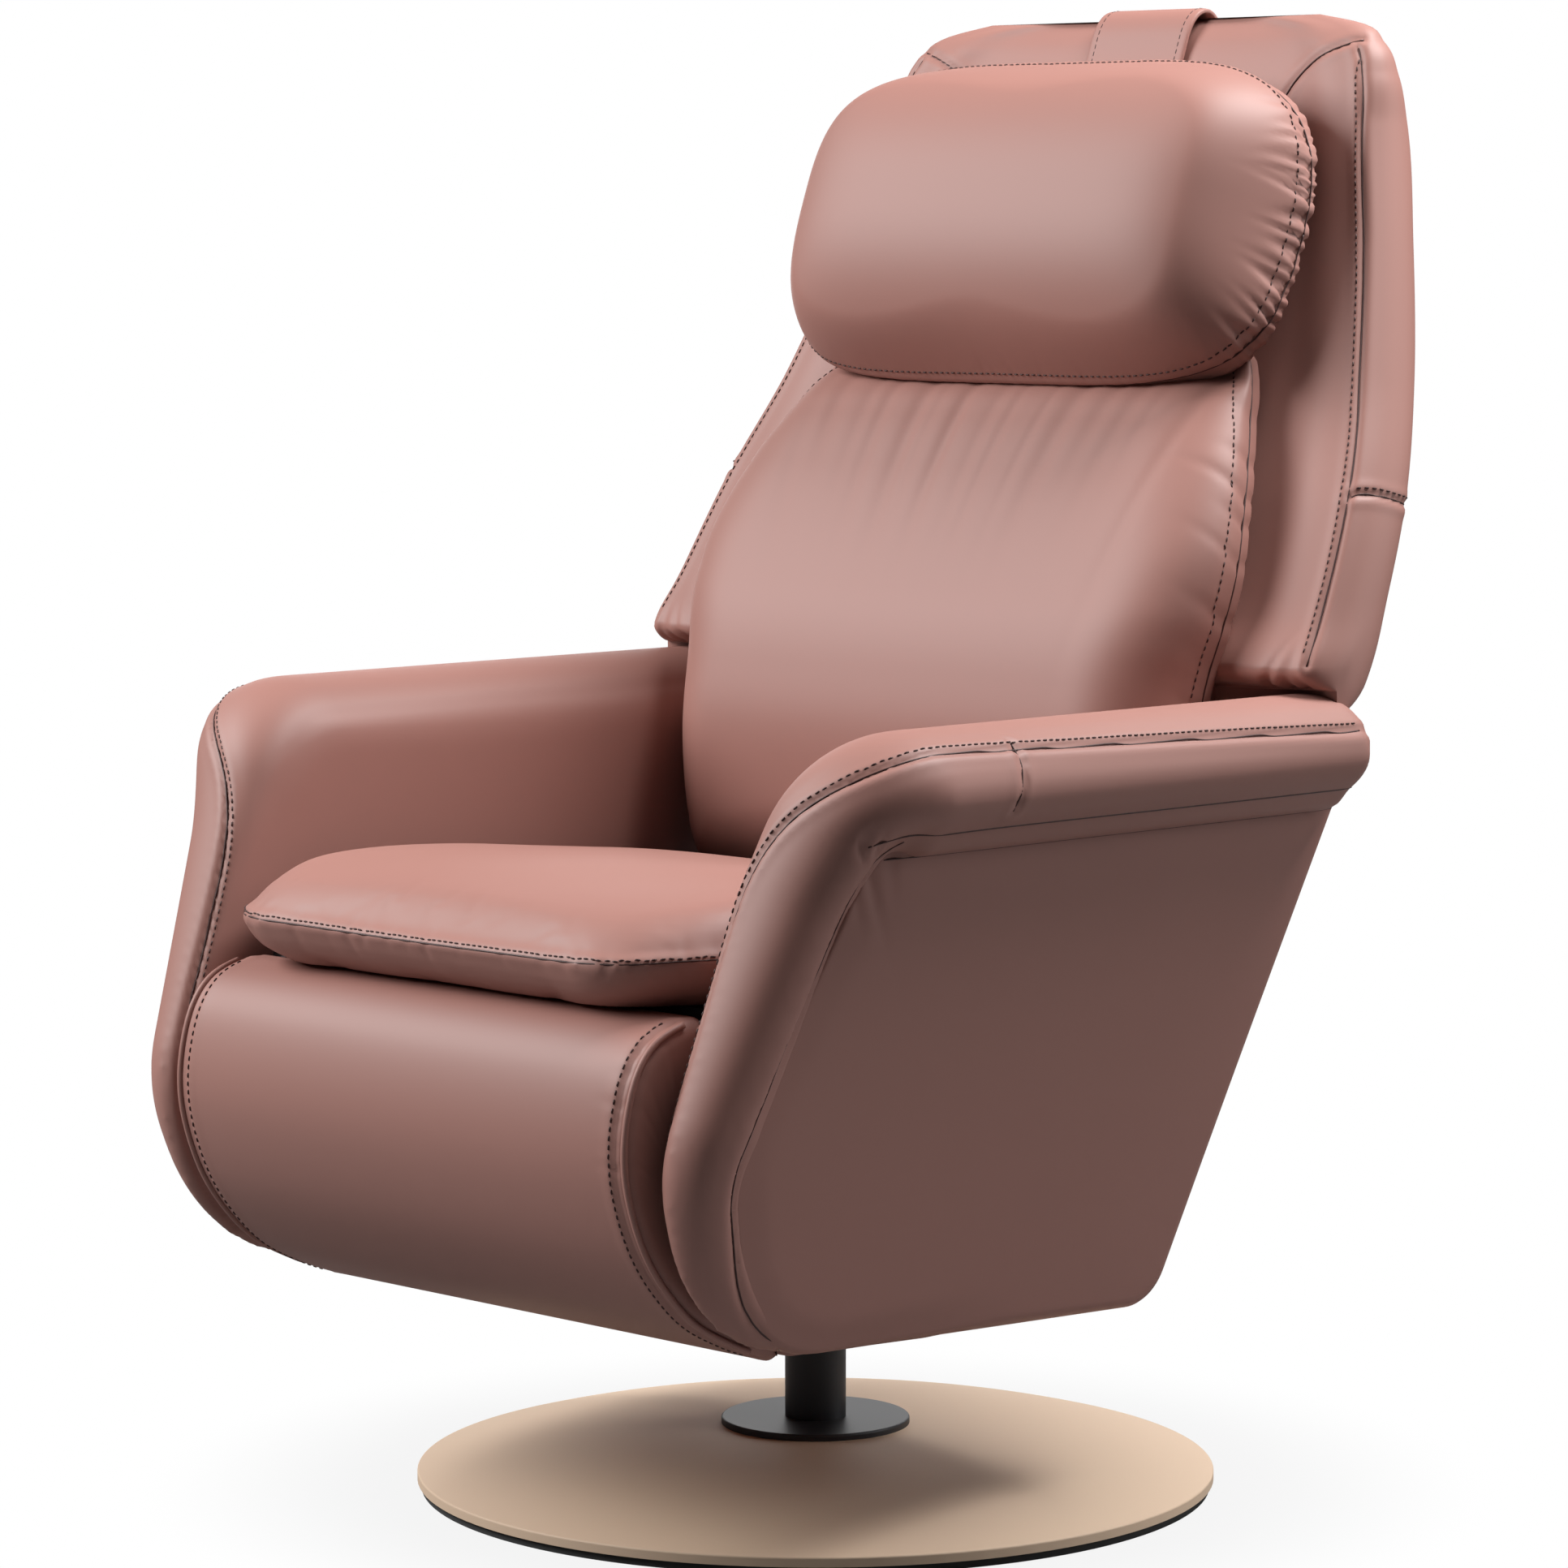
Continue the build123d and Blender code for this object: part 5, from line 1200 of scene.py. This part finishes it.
# Lines on the left half of the shell: where its top is sewn, where its border is pieced, its lower hem.
SHELL_TOP_SEAM = (
    (0.160, 0.352, 1.035), (0.172, 0.352, 1.052), (0.195, 0.353, 1.068), (0.226, 0.358, 1.079))
SHELL_CROSS_SEAM = (
    (0.328, 0.224, 0.750), (0.337, 0.245, 0.748), (0.338, 0.270, 0.742), (0.330, 0.291, 0.737))
SHELL_HEM = (
    (0.27, 0.166, 0.618), (0.31, 0.168, 0.618), (0.345, 0.175, 0.616), (0.350, 0.200, 0.612))


SHELL_FOOT, SHELL_TOP, SHELL_ROUNDING = 0.5975, 1.1035, 0.020
WING_SWELL, WING_INSET, WING_WIDTH = 5 * MM, 0.045, 0.026


def shell_hollow(z, x):
    """How far the shell sinks back towards its middle near the top."""
    return 0.010 * ease(z, 0.85, 1.05) * (1 - np.clip(x / table(z, SHELL_HALF), -1, 1) ** 2)


class RECLINER_OT_shell(bpy.types.Operator):
    """The winged back shell: padded front, border, and plain rear."""

    bl_idname = "recliner.shell"
    bl_label = "Back shell"

    def execute(self, context):
        heights = np.concatenate([0.598 + 0.014 * (1 - np.cos(np.linspace(0, math.pi / 2, 8))),
                                  np.linspace(0.616, 1.084, 190),
                                  1.0865 + 0.0165 * np.sin(np.linspace(0, math.pi / 2, 10))])
        across = np.sin(np.linspace(-math.pi / 2, math.pi / 2, 190))
        rings = []
        for z in heights:
            half = table(z, SHELL_HALF)
            x = across * half
            y0 = table(z, SHELL_FRONT) + shell_hollow(z, x)
            y1 = table(z, SHELL_REAR) + shell_hollow(z, x)
            middle, thick = (y0 + y1) / 2, (y1 - y0) / 2
            close = edge_round(z - SHELL_FOOT, SHELL_ROUNDING) * edge_round(SHELL_TOP - z, SHELL_ROUNDING)
            depth = thick * close * edge_round(half - np.abs(x), 0.019, 2.2)
            # The padding of each wing stands proud between the cushion and the border seam.
            wing = WING_SWELL * np.exp(-((np.abs(x) - (half - WING_INSET)) / WING_WIDTH) ** 2) * close
            slope = 0.010 * (1 - ease(z, 0.598, 0.66))
            front = np.column_stack([x, middle - depth - wing, z + slope * np.ones_like(x)])
            rear = np.column_stack([x[::-1], (middle + depth)[::-1], z - slope * np.ones_like(x)])
            rings.append(np.vstack([front, rear[1:-1]]))
        shell = skin("shell_leather", rings)
        tree = surface(shell)
        levels = np.linspace(0.628, 1.078, 60)
        puckers = [(0.030, 0.004, 0.022, 0.0035, 0.6), (0.050, 0.005, 0.018, 0.003, 0.3),
                   (0.066, 0.004, 0.016, 0.0025, -0.3)]
        seams = {}
        for side, sign in SIDES:
            edge = np.column_stack([sign * (table(levels, SHELL_HALF) - 0.010),
                                    table(levels, SHELL_FRONT) - 0.004, levels])
            seams[side] = {"": on_surface(tree, edge)[0], "_top": laid(tree, SHELL_TOP_SEAM, 40, sign),
                           "_cross": laid(tree, SHELL_CROSS_SEAM, 40, sign)}
            for path in seams[side].values():
                press_seam(shell, path, depth=1.8 * MM)
            gather(shell, laid(tree, SHELL_HEM, 60, sign), puckers)
        tongue = self.tongue()
        for piece, nodes, fill in ((shell, ("back_front_pad", "back_rear_cover"), 0.9), (tongue, (), 0.9)):
            finish_piece(piece, "back")
            if nodes:
                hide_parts(*nodes)
        tree = surface(shell)
        for side, sign in SIDES:
            above = seams[side]["_cross"][2:-2] + (0, 0, 5 * MM)
            sew(f"shell_stitches_{side}", shell, seams[side][""][1:-1], "back", tree, offset=sign * 5 * MM)
            sew(f"shell_cross_stitches_{side}", shell, above, "back", tree)
            for part, path in seams[side].items():
                seam_line(f"shell{part}_seam_{side}", shell, path, "back")
        return {"FINISHED"}

    def tongue(self):
        """The narrow lower part of the shell that goes down between the arms."""
        rings = []
        low, high, half = 0.470, 0.640, 0.2375
        x = np.sin(np.linspace(-math.pi / 2, math.pi / 2, 60)) * half
        for z in np.linspace(low, high, 30):
            t = (z - low) / 0.170
            front, rear = 0.150 + 0.026 * t, 0.200 + 0.026 * t
            depth = (rear - front) / 2 * edge_round(half - np.abs(x), 0.014) * edge_round(z - 0.4695, 0.010)
            middle = (front + rear) / 2
            fore = np.column_stack([x, middle - depth, np.full_like(x, z)])
            aft = np.column_stack([x[::-1], (middle + depth)[::-1], np.full_like(x, z)])
            rings.append(np.vstack([fore, aft[1:-1]]))
        return skin("shell_tongue_leather", rings)


STRAP_OVER = ((0.3640, 1.0940), (0.3735, 1.1045), (0.3850, 1.1060), (0.3935, 1.0965))
STRAP_GAP = 0.0022
STRAP_THICKNESS = 4.6 * MM
STRAP_HALF, STRAP_STITCHES = 0.050, 0.043


def strap_profile(count):
    """Side view of the strap's inner side: up the front, over the top, down the rear."""
    front = [(table(z, SHELL_FRONT) + shell_hollow(z, 0.0) - STRAP_GAP, z)
             for z in (0.985, 1.02, 1.05, 1.075)]
    rear = [(table(z, SHELL_REAR) + shell_hollow(z, 0.0) + STRAP_GAP, z)
            for z in (1.075, 1.04, 1.0, 0.95, 0.90, 0.85, 0.815)]
    return smooth_path([*front, *STRAP_OVER, *rear], count)


class RECLINER_OT_strap(bpy.types.Operator):
    """The doubled strap over the top edge and the weight that balances the pillow."""

    bl_idname = "recliner.strap"
    bl_label = "Strap and weight"

    def execute(self, context):
        line = strap_profile(160)
        out = square_to(line)
        strap = self.band("strap_leather", line, out)
        finish_piece(strap, "back")
        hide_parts("headrest_strap")
        tree = surface(strap)
        for side, sign in SIDES:
            row = np.column_stack([np.full(len(line), sign * STRAP_STITCHES), line + out * STRAP_THICKNESS])
            sew(f"strap_stitches_{side}", strap, row[3:-3], "back", tree)
        self.weight()
        return {"FINISHED"}

    def band(self, name, line, out):
        """A flat doubled strip of leather with rolled edges."""
        angles = np.linspace(0, 2 * math.pi, 56, endpoint=False)
        middle = thick = STRAP_THICKNESS / 2
        x = STRAP_HALF * np.sign(np.cos(angles)) * np.abs(np.cos(angles)) ** 0.12
        h = middle + thick * np.sign(np.sin(angles)) * np.abs(np.sin(angles)) ** 0.5
        rings = [np.column_stack([x, p[0] + n[0] * h, p[1] + n[1] * h]) for p, n in zip(line, out)]
        return skin(name, rings)

    def weight(self):
        """The counterweight's leather cover."""
        low, high, half_thick = 0.880, 0.964, 0.0105
        lean = math.atan2(0.0235, 0.084)
        outline = rounded(((-0.110, low), (0.110, low), (0.110, high), (-0.110, high)), (0.014,) * 4, 240)
        box_low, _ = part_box("headrest_weight")

        def place(u, v, h):
            y = box_low[1] + half_thick + (v - low) * math.tan(lean) + h
            return np.column_stack([u, y, v])

        def thick(u, v, d):
            return half_thick * edge_round(d, 0.010)

        cover = puff("weight_leather", outline, place, thick, thick, rings=24)
        finish_piece(cover, "head_weight")
        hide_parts("headrest_weight")


class RECLINER_OT_stage(bpy.types.Operator):
    """Pale floor, soft lights, white world and the camera."""

    bl_idname = "recliner.stage"
    bl_label = "Stage"

    def execute(self, context):
        scene = context.scene
        stage = scene.recliner_stage
        scene.view_settings.view_transform = "Standard"
        self.floor(stage)
        self.world(scene, stage)
        self.area("softbox_front", place=(-2.15, -2.15, 2.5), target=(0, -0.1, 0.6), size=(2.5, 1.9),
                  power=stage.key_power)
        self.area("softbox_side", place=(2.3, 2.4, 1.5), target=(0, 0, 0.7), size=(1.0, 1.8),
                  power=stage.rim_power)
        self.area("softbox_top", place=(0.9, 0.9, 2.8), target=(0, 0, 0.4), size=(1.3, 1.3),
                  power=stage.top_power)
        self.area("softbox_rear", place=(-2.2, 2.3, 1.1), target=(0, 0, 0.5), size=(3.0, 1.4),
                  power=stage.graze_power)
        camera = bpy.data.objects.new("camera", bpy.data.cameras.new("camera"))
        camera.data.lens = 127.21
        camera.data.sensor_width = 36.0
        camera.data.shift_x = -0.02008
        camera.location = (2.9083, -2.9083, 0.944)
        camera.rotation_euler = (math.radians(90 - 5.77), 0, math.radians(45))
        scene.collection.objects.link(camera)
        scene.camera = camera
        return {"FINISHED"}

    def floor(self, stage):
        """A wide floor that shows white to the camera and keeps the soft shadow."""
        size = 30.0
        floor = new_mesh("floor", [(-size, -size, 0), (size, -size, 0), (size, size, 0), (-size, size, 0)],
                         [[0, 1, 2, 3]], smooth=False)
        material, tree, shader, place = blank("studio_floor")
        shader.inputs["Base Color"].default_value = linear(stage.floor_colour)
        shader.inputs["Roughness"].default_value = 0.9
        shader.inputs["Specular IOR Level"].default_value = 0.1
        # Away from the chair the floor turns into the white backdrop.
        reach = add_node(tree, "ShaderNodeVectorMath", operation="LENGTH", links={0: place})
        far = add_node(tree, "ShaderNodeMapRange", links={"Value": reach.outputs["Value"]},
                       inputs={"From Min": 0.30, "From Max": 0.52, "To Min": stage.floor_glow, "To Max": 1.0},
                       interpolation_type="SMOOTHSTEP")
        rays = add_node(tree, "ShaderNodeLightPath")
        seen = add_node(tree, "ShaderNodeMath", operation="MULTIPLY",
                        links={0: rays.outputs["Is Camera Ray"], 1: far.outputs["Result"]})
        white = add_node(tree, "ShaderNodeEmission", inputs={"Color": (1, 1, 1, 1)})
        mix = add_node(tree, "ShaderNodeMixShader", links={"Fac": seen.outputs["Value"]})
        tree.links.new(shader.outputs["BSDF"], mix.inputs[1])
        tree.links.new(white.outputs["Emission"], mix.inputs[2])
        output = next(n for n in tree.nodes if n.type == "OUTPUT_MATERIAL")
        tree.links.new(mix.outputs["Shader"], output.inputs["Surface"])
        floor.data.materials.append(material)

    def world(self, scene, stage):
        """Even light all round; the camera sees plain white."""
        world = bpy.data.worlds.new("studio")
        world.use_nodes = True
        tree = world.node_tree
        tree.nodes.clear()
        rays = add_node(tree, "ShaderNodeLightPath")
        seen = add_node(tree, "ShaderNodeMapRange", links={"Value": rays.outputs["Is Camera Ray"]},
                        inputs={"To Min": stage.ambient, "To Max": 1.0})
        back = add_node(tree, "ShaderNodeBackground", links={"Strength": seen.outputs["Result"]},
                        inputs={"Color": (1, 1, 1, 1)})
        add_node(tree, "ShaderNodeOutputWorld", links={"Surface": back.outputs["Background"]})
        scene.world = world

    def area(self, name, place, target, size, power):
        """A large soft light aimed at a point."""
        lamp = bpy.data.lights.new(name, "AREA")
        lamp.shape = "RECTANGLE"
        lamp.size, lamp.size_y = size
        lamp.energy = power
        obj = bpy.data.objects.new(name, lamp)
        away = np.array(place) - np.array(target)
        flat = math.hypot(away[0], away[1])
        obj.location = place
        obj.rotation_euler = (math.atan2(flat, away[2]), 0, math.atan2(away[1], away[0]) + math.pi / 2)
        bpy.context.scene.collection.objects.link(obj)


OPERATORS = (
    RECLINER_OT_finishes, RECLINER_OT_arms, RECLINER_OT_sides, RECLINER_OT_covers, RECLINER_OT_legrest,
    RECLINER_OT_seat, RECLINER_OT_back_cushion, RECLINER_OT_pillow, RECLINER_OT_shell, RECLINER_OT_strap,
    RECLINER_OT_stage)
GROUPS = {"recliner_leather": RECLINER_PG_leather, "recliner_shape": RECLINER_PG_shape,
          "recliner_stage": RECLINER_PG_stage}


class RECLINER_PT_panel(bpy.types.Panel):
    """Sidebar panel that lists the recliner's steps."""

    bl_idname = "RECLINER_PT_panel"
    bl_label = "Recliner"
    bl_space_type = "VIEW_3D"
    bl_region_type = "UI"
    bl_category = "Recliner"

    def draw(self, context):
        for group in GROUPS:
            settings = getattr(context.scene, group)
            box = self.layout.box()
            for name in settings.bl_rna.properties.keys():
                if name not in ("rna_type", "name"):
                    box.prop(settings, name)
        for operator in OPERATORS:
            self.layout.operator(operator.bl_idname)


CLASSES = (*GROUPS.values(), *OPERATORS, RECLINER_PT_panel)


def register():
    """Make the settings, the steps and the panel known."""
    for item in CLASSES:
        bpy.utils.register_class(item)
    for name, group in GROUPS.items():
        setattr(bpy.types.Scene, name, bpy.props.PointerProperty(type=group))


def unregister():
    """Take them away again."""
    for name in GROUPS:
        delattr(bpy.types.Scene, name)
    for item in reversed(CLASSES):
        bpy.utils.unregister_class(item)


def main():
    """Dress the chair and set the stage."""
    register()
    for operator in OPERATORS:
        group, name = operator.bl_idname.split(".")
        getattr(getattr(bpy.ops, group), name)()


if __name__ == "__main__":
    main()
